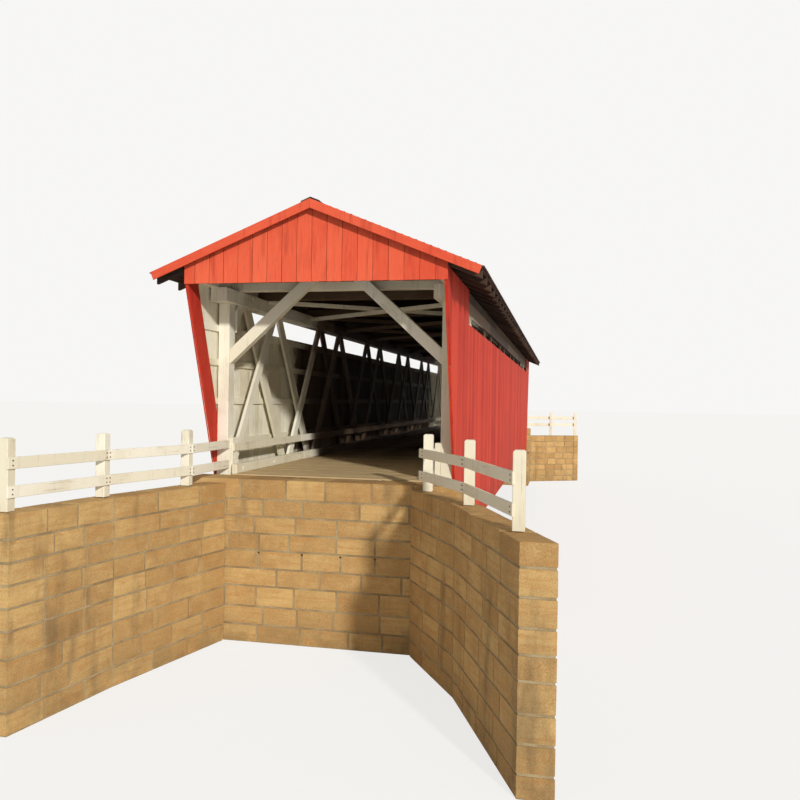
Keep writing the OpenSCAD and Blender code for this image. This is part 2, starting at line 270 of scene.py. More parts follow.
def clip(outline, axis, value, keep_above):
    """The part of a convex outline on one side of a level or upright line."""
    out = []
    way = 1 if keep_above else -1
    for p, q in zip(outline, outline[1:] + outline[:1]):
        dp = way * (p[axis] - value)
        dq = way * (q[axis] - value)
        if dp >= 0:
            out.append(p)
        if (dp > 0 > dq) or (dp < 0 < dq):
            t = dp / (dp - dq)
            out.append((p[0] + (q[0] - p[0]) * t, p[1] + (q[1] - p[1]) * t))
    return [p for i, p in enumerate(out) if (Vector(p) - Vector(out[i - 1])).length > 1e-5]


def inside(outline, u, v, margin):
    """Whether a place lies within a convex outline, at least a margin away from its edges."""
    way = 1 if area(outline) > 0 else -1
    for a, b in zip(outline, outline[1:] + outline[:1]):
        d = unit(a, b)
        if way * (d.x * (v - a[1]) - d.y * (u - a[0])) < margin:
            return False
    return True


def rect(u0, u1, v0, v1):
    return [(u0, v0), (u1, v0), (u1, v1), (u0, v1)]


def unit(a, b):
    return (Vector(b) - Vector(a)).normalized()


def past(a, b, d):
    """The place a distance past b on the line from a to b."""
    return tuple(Vector(b) + unit(a, b) * d)


def plus(a, b):
    return tuple(p + q for p, q in zip(a, b))


# Planes to draw outlines in: (u, v) in the outline, w through the thickness


def side_plane(x, way=1):
    """u is the length, v the height, and w goes outwards on the right (1) or the left (-1)."""
    return Matrix(((0, 0, way, way * x), (1, 0, 0, 0), (0, 1, 0, 0), (0, 0, 0, 1)))


def front_plane(y, way=1):
    """u is the width, v the height, and w the length, away from the near end (1) or to it (-1)."""
    return Matrix(((1, 0, 0, 0), (0, 0, way, y), (0, 1, 0, 0), (0, 0, 0, 1)))


def plan_plane(z):
    return Matrix.Translation((0, 0, z))


def slope_plane(way, depth):
    """u is the length, v goes up the roof slope from the eave, and w goes out of the roof."""
    c, s = math.cos(ANGLE), math.sin(ANGLE)
    top = Vector((way * ROOF_HALF, 0, EAVE)) - Vector((way * s, 0, c)) * depth
    return Matrix(((0, -way * c, way * s, top.x), (1, 0, 0, 0), (0, s, c, top.z), (0, 0, 0, 1)))


# Turns for what is drawn more than once: from the right side to the left, and from the near end to the far


def beside(way, along):
    """Mirrors to the left if way is -1, and moves along the road."""
    return Matrix.Translation((0, along, 0)) @ Matrix.Diagonal((way, 1, 1, 1))


SAME = Matrix.Identity(4)
MIRROR = beside(-1, 0)
FAR_END = Matrix(((1, 0, 0, 0), (0, -1, 0, HOUSE_L), (0, 0, 1, 0), (0, 0, 0, 1)))
SIDES = (SAME, MIRROR)
ENDS = (SAME, FAR_END)
CORNERS = (SAME, MIRROR, FAR_END, FAR_END @ MIRROR)

# How the grain lies in an outline, as the rows of a turn of (u, v)
STRAIGHT = ((1, 0), (0, 1))


def turned(direction):
    """Grain along a direction in the outline."""
    c, s = direction
    return (c, s), (-s, c)


def leaning(slope):
    """Grain that shifts sideways by a slope."""
    return (1, 0), (slope, 1)


# Uneven lengths


def cut(rng, a, b, count, spread):
    """Ends of a number of uneven pieces that fill a run."""
    weights = [rng.uniform(1 - spread, 1 + spread) for _ in range(max(1, count))]
    total = sum(weights)
    out = [a]
    for w in weights:
        out.append(out[-1] + (b - a) * w / total)
    return out[:-1] + [b]


def stations(rng, a, b, step):
    """Ends of uneven pieces, about a step long each."""
    return cut(rng, a, b, round(abs(b - a) / step + rng.uniform(-0.3, 0.3)), 0.25)


def pieces(rng, a, b, step, gap=0):
    """Start and end of each uneven piece of a run, with a gap at both."""
    ends = stations(rng, a, b, step)
    return [(p + gap, q - gap) for p, q in zip(ends, ends[1:])]


def courses(rng, z0, z1, step):
    """Foot and top of each course of stones between two levels."""
    levels = cut(rng, z0, z1, round((z1 - z0) / step), 0.15)
    return list(zip(levels, levels[1:]))


CUBE = ((0, 1, 2, 3), (4, 5, 6, 7), (0, 1, 5, 4), (1, 2, 6, 5), (2, 3, 7, 6), (3, 0, 4, 7))


class Pile:
    """Collects boards, timbers and stones, each with its own grain direction and tone, for one mesh."""

    def __init__(self, seed, way=1):
        self.rng = random.Random(seed)
        self.way = way
        self.verts, self.faces, self.slots, self.grain, self.tone = [], [], [], [], []

    def wobble(self, d):
        return self.rng.uniform(-d, d)

    def shift(self):
        """A place in the grain for one piece, so that no two look the same."""
        return [self.rng.uniform(0, 40) for _ in range(3)]

    def add(self, place, grain, tone):
        self.verts.append(place)
        self.grain.append(grain)
        self.tone.append(tone)

    def face(self, ids, slot, flip):
        self.faces.append(ids[::-1] if flip else ids)
        self.slots.append(slot)

    def wrap(self, start, n, rings, flip=False, foot=0, top=0, side=lambda k, i: 0):
        """Closes rings of n points each, one over the other, with a slot for the foot, top and sides."""
        last = start + (rings - 1) * n
        self.face(list(range(start, start + n)), foot, not flip)
        self.face(list(range(last, last + n)), top, flip)
        for k in range(rings - 1):
            low = start + k * n
            for i in range(n):
                j = (i + 1) % n
                self.face([low + i, low + j, low + n + j, low + n + i], side(k, i), flip)

    def prism(self, outline, plane, t, along=0, chamfer=0.004, slot=0, back=None, edge=None, tone=None,
              lie=STRAIGHT):
        """An outline drawn in a plane, t thick, its long grain along u (0), v (1) or w (2).

        With a back slot, the face at w = 0 takes that one, and the upright side faces take the edge slot.
        """
        if len(outline) < 3:
            return
        if area(outline) < 0:
            outline = outline[::-1]
        rings = [(outline, 0), (outline, t)]
        if chamfer:
            inner = inset(outline, chamfer)
            rings = [(inner, 0), (outline, chamfer), (outline, t - chamfer), (inner, t)]
        start = len(self.verts)
        shift = self.shift()
        tone = self.rng.random() if tone is None else tone
        (a, b), (c, d) = lie
        for points, w in rings:
            for u, v in points:
                g, h, e = plus(((u, v, w), (v, u, w), (w, u, v))[along], shift)
                self.add(plane @ Vector((u, v, w)), (a * g + b * h, c * g + d * h, e), tone)
        n = len(outline)

        def side(k, i):
            if back is None or k > 1 or abs(outline[i][0] - outline[(i + 1) % n][0]) > 1e-4:
                return slot
            return edge if k else back

        foot = slot if back is None else back
        self.wrap(start, n, len(rings), plane.determinant() < 0, foot, slot, side)

    def box(self, x0, x1, y0, y1, z0, z1, along, chamfer, slot=0):
        """A squared timber; along names the axis of its grain."""
        if along == "x":
            self.prism(rect(x0, x1, z0, z1), front_plane(y0), y1 - y0, 0, chamfer, slot)
        else:
            self.prism(rect(y0, y1, z0, z1), side_plane(x0), x1 - x0, int(along == "z"), chamfer, slot)

    def solid(self, corners, along):
        """A six-sided piece from its 8 corners: four below and four above, each going round."""
        start = len(self.verts)
        shift = self.shift()
        tone = self.rng.random()
        corners = [Vector(p) for p in corners]
        along = Vector(along)
        for p in corners:
            s = p.dot(along)
            r = p - along * s
            self.add(p, plus((s, r.x + r.y, r.z), shift), tone)
        centre = sum(corners, Vector()) / 8
        for ids in CUBE:
            ps = [corners[i] for i in ids]
            normal = (ps[1] - ps[0]).cross(ps[2] - ps[1])
            out = normal.dot(sum(ps, Vector()) / 4 - centre) > 0
            self.face([start + i for i in ids], 0, not out)

    def disc(self, plane, u, v, w, r, t, slot):
        """A six-sided nail head or bolt head, standing t out of a level w over a plane."""
        ring = [(u + r * math.cos(math.tau * k / 6), v + r * math.sin(math.tau * k / 6)) for k in range(6)]
        self.prism(ring, plane @ plan_plane(w), t, chamfer=0, slot=slot, tone=0.5)

    def bolt(self, plane, u, v, slot):
        """A square washer with a bolt head on it."""
        half = 0.035
        thick = 0.006
        washer = rect(u - half, u + half, v - half, v + half)
        self.prism(washer, plane, thick, chamfer=0, slot=slot, tone=0.4)
        self.disc(plane, u, v, thick, 0.018, 0.012, slot)

    def stone(self, plan, z0, z1):
        """A stone on a four-cornered plan, its faces uneven and its edges worn."""
        a, b, c, d = [Vector((*p, 0)) for p in plan]
        sizes = ((b - a).length, (d - a).length, z1 - z0)
        counts = [max(2, round(size / STONE_CELL)) for size in sizes]
        axes = ((b - a).normalized(), (d - a).normalized(), Vector((0, 0, 1)))
        tone = self.rng.random()
        shift = Vector(self.shift())
        ids = {}

        def vertex(at):
            if at in ids:
                return ids[at]
            s, t, r = [i / n for i, n in zip(at, counts)]
            p = a.lerp(b, s).lerp(d.lerp(c, s), t) + Vector((0, 0, z0 + (z1 - z0) * r))
            inwards = [axis if i == 0 else -axis for i, n, axis in zip(at, counts, axes) if i in (0, n)]
            bump = 0.5 + 0.5 * noise.noise(p * 5.5 + shift)
            fine = 0.5 + 0.5 * noise.noise(p * 17 + shift)
            push = STONE_JOINT + STONE_ROUGH * (0.7 * bump + 0.5 * fine)
            if len(inwards) > 1:
                push += STONE_WEAR
            q = p + sum((axis * push for axis in inwards), Vector())
            ids[at] = len(self.verts)
            self.add(q, tuple(q + shift), tone)
            return ids[at]

        mirrored = (b - a).cross(d - a).z < 0
        for axis in (2, 1, 0):
            nx, ny = counts[:axis] + counts[axis + 1:]
            for level in (0, counts[axis]):
                flip = mirrored ^ (level == 0) ^ (axis == 1)
                for cell in (rect(x, x + 1, y, y + 1) for x in range(nx) for y in range(ny)):
                    self.face([vertex((*p[:axis], level, *p[axis:])) for p in cell], 0, flip)

    def turn(self, m, verts=0, faces=0):
        """Turns what is on the pile, from a count of vertices and faces on."""
        self.verts[verts:] = [m @ v for v in self.verts[verts:]]
        if m.determinant() < 0:
            self.faces[faces:] = [ids[::-1] for ids in self.faces[faces:]]

    def drawn(self, turns):
        """Goes through some turns, and turns what is drawn on the pile during each."""
        for m in turns:
            verts, faces = len(self.verts), len(self.faces)
            yield
            self.turn(m, verts, faces)

    def build(self, name, materials, slot, *nodes):
        """Makes the mesh, which stands for the nodes. The slot is not used.

        What was drawn for the left side, way -1, is mirrored.
        """
        self.turn(beside(self.way, 0))
        mesh = bpy.data.meshes.new(name)
        mesh.from_pydata([v + ORIGIN for v in self.verts], [], self.faces)
        grain = mesh.attributes.new("grain", "FLOAT_VECTOR", "POINT")
        grain.data.foreach_set("vector", [c for g in self.grain for c in g])
        tone = mesh.attributes.new("tone", "FLOAT", "POINT")
        tone.data.foreach_set("value", self.tone)
        for m in materials:
            mesh.materials.append(m)
        mesh.polygons.foreach_set("material_index", self.slots)
        mesh.update()
        obj = bpy.data.objects.new(name, mesh)
        bpy.context.scene.collection.objects.link(obj)
        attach(obj, "root")
        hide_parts(*nodes)


# Materials


class Nodes:
    """Short names for building the nodes of a material or of the world."""

    def __init__(self, owner):
        owner.use_nodes = True
        self.owner = owner
        self.tree = owner.node_tree

    def put(self, socket, value):
        if isinstance(value, bpy.types.NodeSocket):
            self.tree.links.new(value, socket)
        else:
            socket.default_value = value

    def make(self, kind, output, inputs, **settings):
        """One output of a new node with its settings and inputs, which go by name or number."""
        node = self.tree.nodes.new(kind)
        for key, value in settings.items():
            setattr(node, key, value)
        for key, value in inputs.items():
            self.put(node.inputs[key], value)
        return node.outputs[output]

    def math(self, operation, a, b=0.0):
        return self.make("ShaderNodeMath", 0, {0: a, 1: b}, operation=operation)

    def times(self, a, b):
        return self.math("MULTIPLY", a, b)

    def total(self, *terms):
        """The sum of some values, each times its weight."""
        out = self.times(*terms[0])
        for value, weight in terms[1:]:
            out = self.math("ADD", out, self.times(value, weight))
        return out

    def show(self, lit, seen, share, output):
        """Shows the camera, gloss and glass a share of one shader, while the other one gives the light."""
        path = self.tree.nodes.new("ShaderNodeLightPath").outputs
        rays = self.math("MAXIMUM", path["Is Camera Ray"], path["Is Glossy Ray"])
        rays = self.math("MAXIMUM", rays, path["Is Transmission Ray"])
        mixed = self.make("ShaderNodeMixShader", 0, {0: self.times(rays, share), 1: lit, 2: seen})
        self.put(self.tree.nodes[output].inputs["Surface"], mixed)


class Material(Nodes):
    """A material whose nodes know the place, and the grain and tone of each board or stone."""

    def __init__(self, name, rough=0.8, gloss=0.2):
        super().__init__(bpy.data.materials.new(name))
        self.bsdf = self.tree.nodes["Principled BSDF"]
        self.put(self.bsdf.inputs["Roughness"], rough)
        self.put(self.bsdf.inputs["Specular IOR Level"], gloss)
        self.place = self.make("ShaderNodeTexCoord", "Object", {})
        self.grain = self.make("ShaderNodeAttribute", "Vector", {}, attribute_name="grain")
        self.tone = self.make("ShaderNodeAttribute", "Fac", {}, attribute_name="tone")

    def scaled(self, vector, scale):
        return self.make("ShaderNodeVectorMath", 0, {0: vector, 1: scale}, operation="MULTIPLY")

    def noise(self, vector, scale, detail=4, rough=0.55, distortion=0.0):
        inputs = {"Vector": vector, "Scale": scale, "Detail": detail, "Roughness": rough}
        return self.make("ShaderNodeTexNoise", "Fac", {**inputs, "Distortion": distortion})

    def ramp(self, value, low, high, to_low=0.0, to_high=1.0):
        inputs = {"Value": value, "From Min": low, "From Max": high, "To Min": to_low, "To Max": to_high}
        return self.make("ShaderNodeMapRange", "Result", inputs, interpolation_type="SMOOTHSTEP")

    def mix(self, factor, a, b):
        inputs = {"Factor": factor, "A": a, "B": b}
        return self.make("ShaderNodeMix", "Result", inputs, data_type="RGBA")

    def over(self, color, share, strength, tint):
        """A colour under a tint, where a share says so."""
        return self.mix(self.times(share, strength), color, tint)

    def axis(self, k):
        return self.make("ShaderNodeSeparateXYZ", k, {0: self.place})

    def stain(self, color, value, low, high, strength, tint):
        """A colour that a tint covers more and more as a value goes from low to high."""
        return self.mix(self.ramp(value, low, high, 0, strength), color, tint)

    def along(self):
        """The distance from the middle of the bridge, along the road."""
        return self.math("ABSOLUTE", self.math("SUBTRACT", self.axis(1), START + HALF_L))

    def ragged(self, scale, detail, amount):
        """The distance along the road from the middle, with an uneven front."""
        return self.total((self.along(), 1), (self.noise(self.place, scale, detail), amount))

    def done(self, color, grain, rough, height, depth, strength, span=(0.2, 0.9)):
        """Sets the colour, a roughness that follows the grain between two values, and the bump."""
        self.put(self.bsdf.inputs["Base Color"], color)
        self.put(self.bsdf.inputs["Roughness"], self.ramp(grain, *span, *rough))
        bump = {"Distance": depth, "Strength": strength, "Height": height}
        self.put(self.bsdf.inputs["Normal"], self.make("ShaderNodeBump", "Normal", bump))
        return self.owner


class Wood(Material):
    """A material with grain streaks along each board, and cracks: two values from 0 to 1."""

    def __init__(self, name, fine=1.0):
        super().__init__(name)
        self.streaks = self.noise(self.scaled(self.grain, (1.2, 26 * fine, 26 * fine)), 3.0, 5, 0.6, 0.4)
        self.cracks = self.noise(self.scaled(self.grain, (0.9, 60 * fine, 60 * fine)), 2.0, 3, 0.5, 0.8)

    def timber(self, dark, light):
        """Bare wood, streaked, and of another tone from piece to piece."""
        share = self.total((self.streaks, 0.75), (self.tone, 0.35))
        return self.mix(self.ramp(share, 0.25, 0.85), dark, light)

    def sawn(self, color, rough, gaps, depth, strength):
        """Finishes the wood: its streaks stand out and are rougher, and the gaps are sunk in."""
        height = self.math("SUBTRACT", self.streaks, gaps)
        return self.done(color, self.streaks, rough, height, depth, strength)


def rgb(r, g, b):
    """Linear colour from the 0-255 values that an eye would name."""
    out = []
    for v in (r, g, b):
        v /= 255
        out.append(v / 12.92 if v <= 0.04045 else ((v + 0.055) / 1.055) ** 2.4)
    return (*out, 1.0)


def wood(name, dark, light, grey):
    """Bare old timber: streaked along the grain, its tone different from piece to piece."""
    n = Wood(name)
    color = n.timber(dark, light)
    color = n.stain(color, n.noise(n.place, 1.3, 3, 0.6), 0.45, 0.75, 0.7, grey)
    check = n.ramp(n.cracks, 0.63, 0.7)
    color = n.over(color, check, 0.65, tuple(0.35 * c for c in dark[:3]) + (1.0,))
    return n.sawn(color, (0.75, 0.95), n.times(check, 0.8), 0.004, 0.7)


def red_paint(name, dark, light, faded):
    """Barn-red paint on sawn boards: faded in the sun, thin on the grain, dirty near the foot."""
    n = Wood(name)
    cloud = n.noise(n.place, 0.55, 4, 0.6)
    drips = n.noise(n.scaled(n.place, (5, 5, 0.45)), 1.6, 4, 0.6)
    color = n.mix(n.ramp(n.total((n.tone, 0.5), (cloud, 0.6)), 0.2, 0.85), dark, light)
    color = n.stain(color, n.streaks, 0.35, 0.8, 0.35, faded)
    color = n.stain(color, drips, 0.5, 0.72, 0.4, rgb(142, 34, 30))
    low = n.ramp(n.axis(2), FLOOR - DROP, FLOOR - 0.5, 1, 0)
    color = n.over(color, n.times(low, n.ramp(drips, 0.35, 0.65)), 0.5, rgb(112, 62, 48))
    worn = n.times(n.ramp(n.cracks, 0.66, 0.72), n.ramp(cloud, 0.48, 0.62))
    color = n.over(color, worn, 0.7, rgb(126, 92, 78))
    color = n.over(color, n.ramp(n.cracks, 0.7, 0.74), 0.55, rgb(84, 24, 20))
    return n.sawn(color, (0.66, 0.9), n.times(worn, 0.9), 0.003, 0.6)


def paint_color(n):
    """White paint with grey dirt, tan stains and bare patches; returns the colour and the bare share."""
    cloud = n.noise(n.place, 1.1, 4, 0.6)
    drips = n.noise(n.scaled(n.place, (6, 6, 0.7)), 1.5, 4, 0.65)
    color = n.mix(n.ramp(n.tone, 0, 1), rgb(226, 219, 196), rgb(240, 236, 220))
    color = n.stain(color, cloud, 0.45, 0.75, 0.45, rgb(206, 194, 164))
    color = n.stain(color, drips, 0.55, 0.75, 0.4, rgb(170, 158, 132))
    bare = n.times(n.ramp(n.cracks, 0.62, 0.7), n.ramp(cloud, 0.45, 0.62))
    return n.over(color, bare, 0.75, rgb(128, 110, 90)), bare


def white_paint(name, on_truss):
    """White paint; on the truss it gives way to bare timber far in, and outside behind the slits it takes
    the dark timber colour as painted shade under the eave.
    """
    n = Wood(name)
    color, bare = paint_color(n)
    if on_truss:
        deep = n.ramp(n.ragged(2.2, 3, 1.2), HALF_L - 6.8, HALF_L - 5.6, 1, 0)
        # The outer faces high on the long walls, behind the slits, turn to the dark timber colour: painted
        # shade under the eave.
        outer = n.ramp(n.math("ABSOLUTE", n.axis(0)), TRUSS_OUT - 0.02, TRUSS_OUT - 0.005)
        high = n.math("GREATER_THAN", n.axis(2), FLOOR + CHORD_FOOT - 0.2)
        eave_shade_zone = n.times(high, n.math("LESS_THAN", n.along(), HALF_L - END_BAY))
        timber = n.timber(rgb(78, 60, 48), rgb(132, 110, 90))
        color = n.mix(n.math("MAXIMUM", deep, n.times(outer, eave_shade_zone)), color, timber)
    return n.sawn(color, (0.58, 0.82), n.times(bare, 0.9), 0.003, 0.5)


def board_backs(name):
    """Inner faces of the siding: white near the portals, then bare and dark."""
    n = Wood(name)
    white, _ = paint_color(n)
    brown = n.timber(rgb(58, 44, 36), rgb(104, 82, 64))
    color = n.mix(n.ramp(n.ragged(2.6, 3, 1.2), HALF_L - 5.9, HALF_L - 5.3, 1, 0), white, brown)
    return n.done(color, n.streaks, (0.68, 0.9), n.streaks, 0.003, 0.6)


def plank_wood(name):
    """Worn deck planks: lighter in the two wheel tracks, dusty, and pale at the ends with road dust and with
    painted sunlight falling in through the portals.
    """
    n = Wood(name)
    share = n.total((n.streaks, 0.7), (n.tone, 0.4))
    color = n.mix(n.ramp(share, 0.2, 0.9), rgb(112, 91, 66), rgb(176, 151, 116))
    off = n.math("ABSOLUTE", n.math("SUBTRACT", n.math("ABSOLUTE", n.axis(0)), 0.85))
    track = n.times(n.ramp(off, 0.1, 0.45, 1, 0), n.ramp(n.streaks, 0.3, 0.7, 0.4, 1))
    color = n.over(color, track, 0.5, rgb(186, 166, 134))
    color = n.stain(color, n.noise(n.place, 0.9, 4), 0.45, 0.7, 0.45, rgb(166, 143, 108))
    # Paler towards the ends: road dust, and painted sunlight from the portals.
    near = n.ramp(n.ragged(1.4, 4, 2.0), HALF_L - 7.5, HALF_L - 2.5, 0, 0.8)
    color = n.over(color, near, n.ramp(n.streaks, 0.25, 0.6, 0.7, 1), rgb(216, 190, 144))
    check = n.ramp(n.cracks, 0.62, 0.7)
    color = n.over(color, check, 0.6, rgb(58, 46, 36))
    return n.sawn(color, (0.75, 0.95), check, 0.005, 0.8)


def shingle_wood(name):
    """Split shingles: grey to dark brown, darker in their cracks and in patches, with a little moss."""
    n = Wood(name, 2.0)
    patch = n.noise(n.scaled(n.place, (0.4, 1.7, 0.4)), 0.9, 5, 0.65)
    share = n.total((n.tone, 0.4), (n.streaks, 0.4), (patch, 0.4))
    color = n.mix(n.ramp(share, 0.25, 0.95), rgb(58, 47, 41), rgb(108, 94, 82))
    moss = n.noise(n.scaled(n.place, (0.6, 1.6, 0.6)), 2.0, 5, 0.7)
    color = n.stain(color, moss, 0.56, 0.8, 0.3, rgb(66, 60, 46))
    check = n.ramp(n.cracks, 0.6, 0.68)
    color = n.over(color, check, 0.7, rgb(30, 25, 22))
    return n.sawn(color, (0.82, 0.97), check, 0.004, 0.8)


def sandstone(name):
    """Golden sandstone blocks: banded, pitted, and darker where water runs."""
    n = Material(name)
    grit = n.noise(n.grain, 60, 5, 0.7)
    cloud = n.noise(n.grain, 2.6, 5, 0.6, 0.3)
    bands = n.noise(n.scaled(n.grain, (1, 1, 9)), 1.6, 4, 0.6, 0.5)
    share = n.total((n.tone, 0.28), (cloud, 0.6), (n.noise(n.place, 0.7, 3, 0.6), 0.3))
    color = n.mix(n.ramp(share, 0.2, 1.0), rgb(160, 124, 78), rgb(212, 178, 120))
    color = n.stain(color, bands, 0.42, 0.68, 0.5, rgb(176, 128, 74))
    color = n.stain(color, grit, 0.5, 0.75, 0.5, rgb(226, 200, 150))
    color = n.stain(color, grit, 0.5, 0.3, 0.45, rgb(112, 86, 56))
    stain = n.noise(n.scaled(n.place, (1.4, 1.4, 0.35)), 1.4, 4, 0.6)
    color = n.stain(color, stain, 0.52, 0.75, 0.55, rgb(96, 82, 62))
    low = n.times(n.ramp(n.axis(2), 0, 0.9, 1, 0), n.ramp(cloud, 0.35, 0.65))
    color = n.over(color, low, 0.45, rgb(88, 78, 58))
    height = n.total((grit, 0.5), (cloud, 1))
    return n.done(color, grit, (0.85, 0.98), height, 0.012, 0.8, (0.2, 0.8))


def mortar(name):
    n = Material(name)
    grit = n.noise(n.place, 70, 4, 0.7)
    cloud = n.noise(n.place, 2.0, 4, 0.6)
    color = n.mix(n.ramp(cloud, 0.3, 0.7), rgb(146, 126, 94), rgb(186, 168, 132))
    color = n.stain(color, grit, 0.35, 0.7, 0.5, rgb(110, 94, 70))
    return n.done(color, grit, (0.9, 1.0), grit, 0.006, 0.8, (0.2, 0.8))


def iron(name):
    """Dark iron with rust blooms, for nails, washers and bolts."""
    n = Material(name, gloss=0.5)
    rust = n.noise(n.place, 30, 4, 0.65)
    color = n.mix(n.ramp(rust, 0.4, 0.65), rgb(56, 48, 44), rgb(120, 66, 38))
    return n.done(color, rust, (0.5, 0.9), rust, 0.001, 0.5, (0.3, 0.7))


# Two copies of one barn red: the darker one on the walls paints their shade, and the lighter one on the
# gables and barges paints the sunlight on the ends.
RED = red_paint("red_siding", rgb(170, 36, 27), rgb(208, 64, 43), rgb(220, 92, 62))
SUNLIT_RED = red_paint("sunlit_red", rgb(204, 68, 46), rgb(228, 102, 70), rgb(238, 128, 90))
BACKS = board_backs("siding_backs")
WHITE = white_paint("white_timber", False)
TRUSS = white_paint("truss_timber", True)
OLD = wood("old_timber", rgb(58, 44, 34), rgb(112, 90, 68), rgb(96, 86, 74))
# Roof timber is a darker copy of the bare timber; its extra darkness is painted shade under the roof.
ROOF_WOOD = wood("roof_timber", rgb(40, 30, 25), rgb(82, 63, 50), rgb(64, 55, 48))
PLANKS = plank_wood("floor_planks")
SHINGLES = shingle_wood("shingles")
STONE = sandstone("stone")
MORTAR = mortar("mortar")
IRON = iron("iron")


# Masonry


def core(pile, outline, plane, t):
    """Mortar behind the faces of the stones."""
    pile.prism(outline, plane, t, chamfer=0, slot=1, tone=0.5)


def abutment(name, end, seed):
    """Seat and backwall in coursed blocks on a core of mortar."""
    pile = Pile(seed)
    levels = courses(pile.rng, BASE, SEAT, SEAT_COURSE)
    for k, (z0, z1) in enumerate(levels):
        rows = (BACK_FRONT, *SEAT_ROWS[k % 2], SEAT_END)
        for y0, y1 in zip(rows, rows[1:]):
            for x0, x1 in pieces(pile.rng, -ABUT_HALF, ABUT_HALF, BLOCK_L):
                inner = y0 > BACK_FRONT and y1 < SEAT_END and x0 > -ABUT_HALF and x1 < ABUT_HALF
                if not inner or k == len(levels) - 1:
                    pile.stone(rect(x0, x1, y0, y1), z0, z1)
    for z0, z1 in courses(pile.rng, SEAT, 0, BACK_COURSE):
        for x0, x1 in pieces(pile.rng, -ABUT_HALF, ABUT_HALF, BLOCK_L):
            pile.stone(rect(x0, x1, BACK_FRONT, BACK_BACK), z0, z1)
    c = CORE_IN
    for y1, z0, z1 in ((SEAT_END, BASE, SEAT), (BACK_BACK, SEAT - 2 * c, 0)):
        core(pile, rect(BACK_FRONT + c, y1 - c, z0, z1 - c), side_plane(c - ABUT_HALF), 2 * (ABUT_HALF - c))
    pile.turn(end)
    pile.build(name + "_stones", [STONE, MORTAR], "stone", name)


def wing(name, lines, top, along, way, seed):
    """A wall in coursed blocks between an inner and an outer line of plan points."""
    pile = Pile(seed)
    inner, outer = [[Vector(p) for p in line] for line in lines]
    stretches = list(zip(inner, inner[1:], outer[1:], outer))
    for z0, z1 in courses(pile.rng, BASE, top, WING_COURSE):
        for a, b, c, d in stretches:
            share = 2 * WING_BLOCK_L / ((b - a).length + (c - d).length)
            for s, t in pieces(pile.rng, 0, 1, share):
                pile.stone((a.lerp(b, s), a.lerp(b, t), d.lerp(c, t), d.lerp(c, s)), z0, z1)
    side = CORE_IN / WING_T
    for i, (a, b, c, d) in enumerate(stretches):
        end = CORE_IN / (b - a).length
        start = end if i == 0 else 0
        stop = 1 - end if i == len(stretches) - 1 else 1
        plan = [tuple(a.lerp(b, s).lerp(d.lerp(c, s), t)) for s, t in rect(start, stop, side, 1 - side)]
        core(pile, plan, plan_plane(BASE), top - CORE_IN - BASE)
    pile.turn(beside(way, along))
    pile.build(name + "_stones", [STONE, MORTAR], "stone", name)


def post_x(posts, y):
    """Distance of a bent row of three posts from the middle of the road at a length."""
    k = 0 if y > posts[1][1] else 2
    return posts[1][0] + (posts[k][0] - posts[1][0]) * (y - posts[1][1]) / (posts[k][1] - posts[1][1])


def near_lines(posts):
    """The two sides of a wall that follows a row of posts."""
    half = WING_T / 2
    middle = [(post_x(posts, y), y) for y in (BACK_FRONT, posts[1][1], -NEAR_REACH)]
    return [(x - half, y) for x, y in middle], [(x + half, y) for x, y in middle]


def far_lines():
    """The flaring wall's two sides; its ends are cut across the road and along it."""
    cut_back = 0.34
    heel = (ABUT_HALF, -BACK_FRONT)
    tip = (FAR_POSTS[2][0] + 0.2, FAR_REACH - WING_T)
    outer = [heel, past(tip, heel, -cut_back), past(heel, tip, -cut_back), tip]
    inner = [(ABUT_HALF - WING_T, -BACK_FRONT), (ABUT_HALF - WING_T, -BACK_FRONT + WING_T),
             (FAR_POSTS[2][0] - 0.05, FAR_REACH), (tip[0], FAR_REACH)]
    return inner, outer


abutment("near_abutment", SAME, 11)
abutment("far_abutment", FAR_END, 12)
wing("near_left_wing_wall", near_lines(LEFT_POSTS), GROUND, 0, -1, 13)
wing("near_right_wing_wall", near_lines(RIGHT_POSTS), GROUND, 0, 1, 14)
wing("far_left_wing_wall", far_lines(), FAR_GROUND, HOUSE_L, -1, 15)
wing("far_right_wing_wall", far_lines(), FAR_GROUND, HOUSE_L, 1, 16)


# Timbers

# Places where two web timbers meet, of the one row of panels and of the other between them
APEXES = [FIRST_APEX + k * PANEL for k in range(PANELS + 1)]
APEXES += [FIRST_APEX + APEX_OFFSET - PANEL + k * PANEL for k in range(PANELS + 3)]
BED_FRONTS = (1.45, 2.35)
KNEE_AT_POST = (2.28, 2.6)
KNEE_AT_TIE = (0.702, 0.382)

# Chamfers
SAWN_EDGE = 0.002
BOARD_EDGE = 0.003
FINE_EDGE = 0.004
RAIL_EDGE = 0.005
TIMBER_EDGE = 0.006
HEAVY_EDGE = 0.01
POST_EDGE = 0.012
CURB_EDGE = 0.014


def bed_timbers():
    pile = Pile(20)
    for _ in pile.drawn(ENDS):
        for y in BED_FRONTS:
            pile.box(-TRUSS_OUT, TRUSS_OUT, y, y + BEAM_W, SEAT, LOW_CHORD_FOOT, "x", HEAVY_EDGE)
    pile.build("bed_timber_beams", [OLD], "old_timber", "bed_timbers")


def packing(pile, z0, z1):
    """Blocks between the leaves where a chord passes the end post."""
    for k in range(2):
        x = TRUSS_IN + k * LEAF_STEP + LEAF_T
        pile.box(x + FIT_GAP, x + WEB_T - FIT_GAP, POST_FRONT - CHORD_TAIL, POST_BACK, z0, z1, "y",
                 FINE_EDGE)


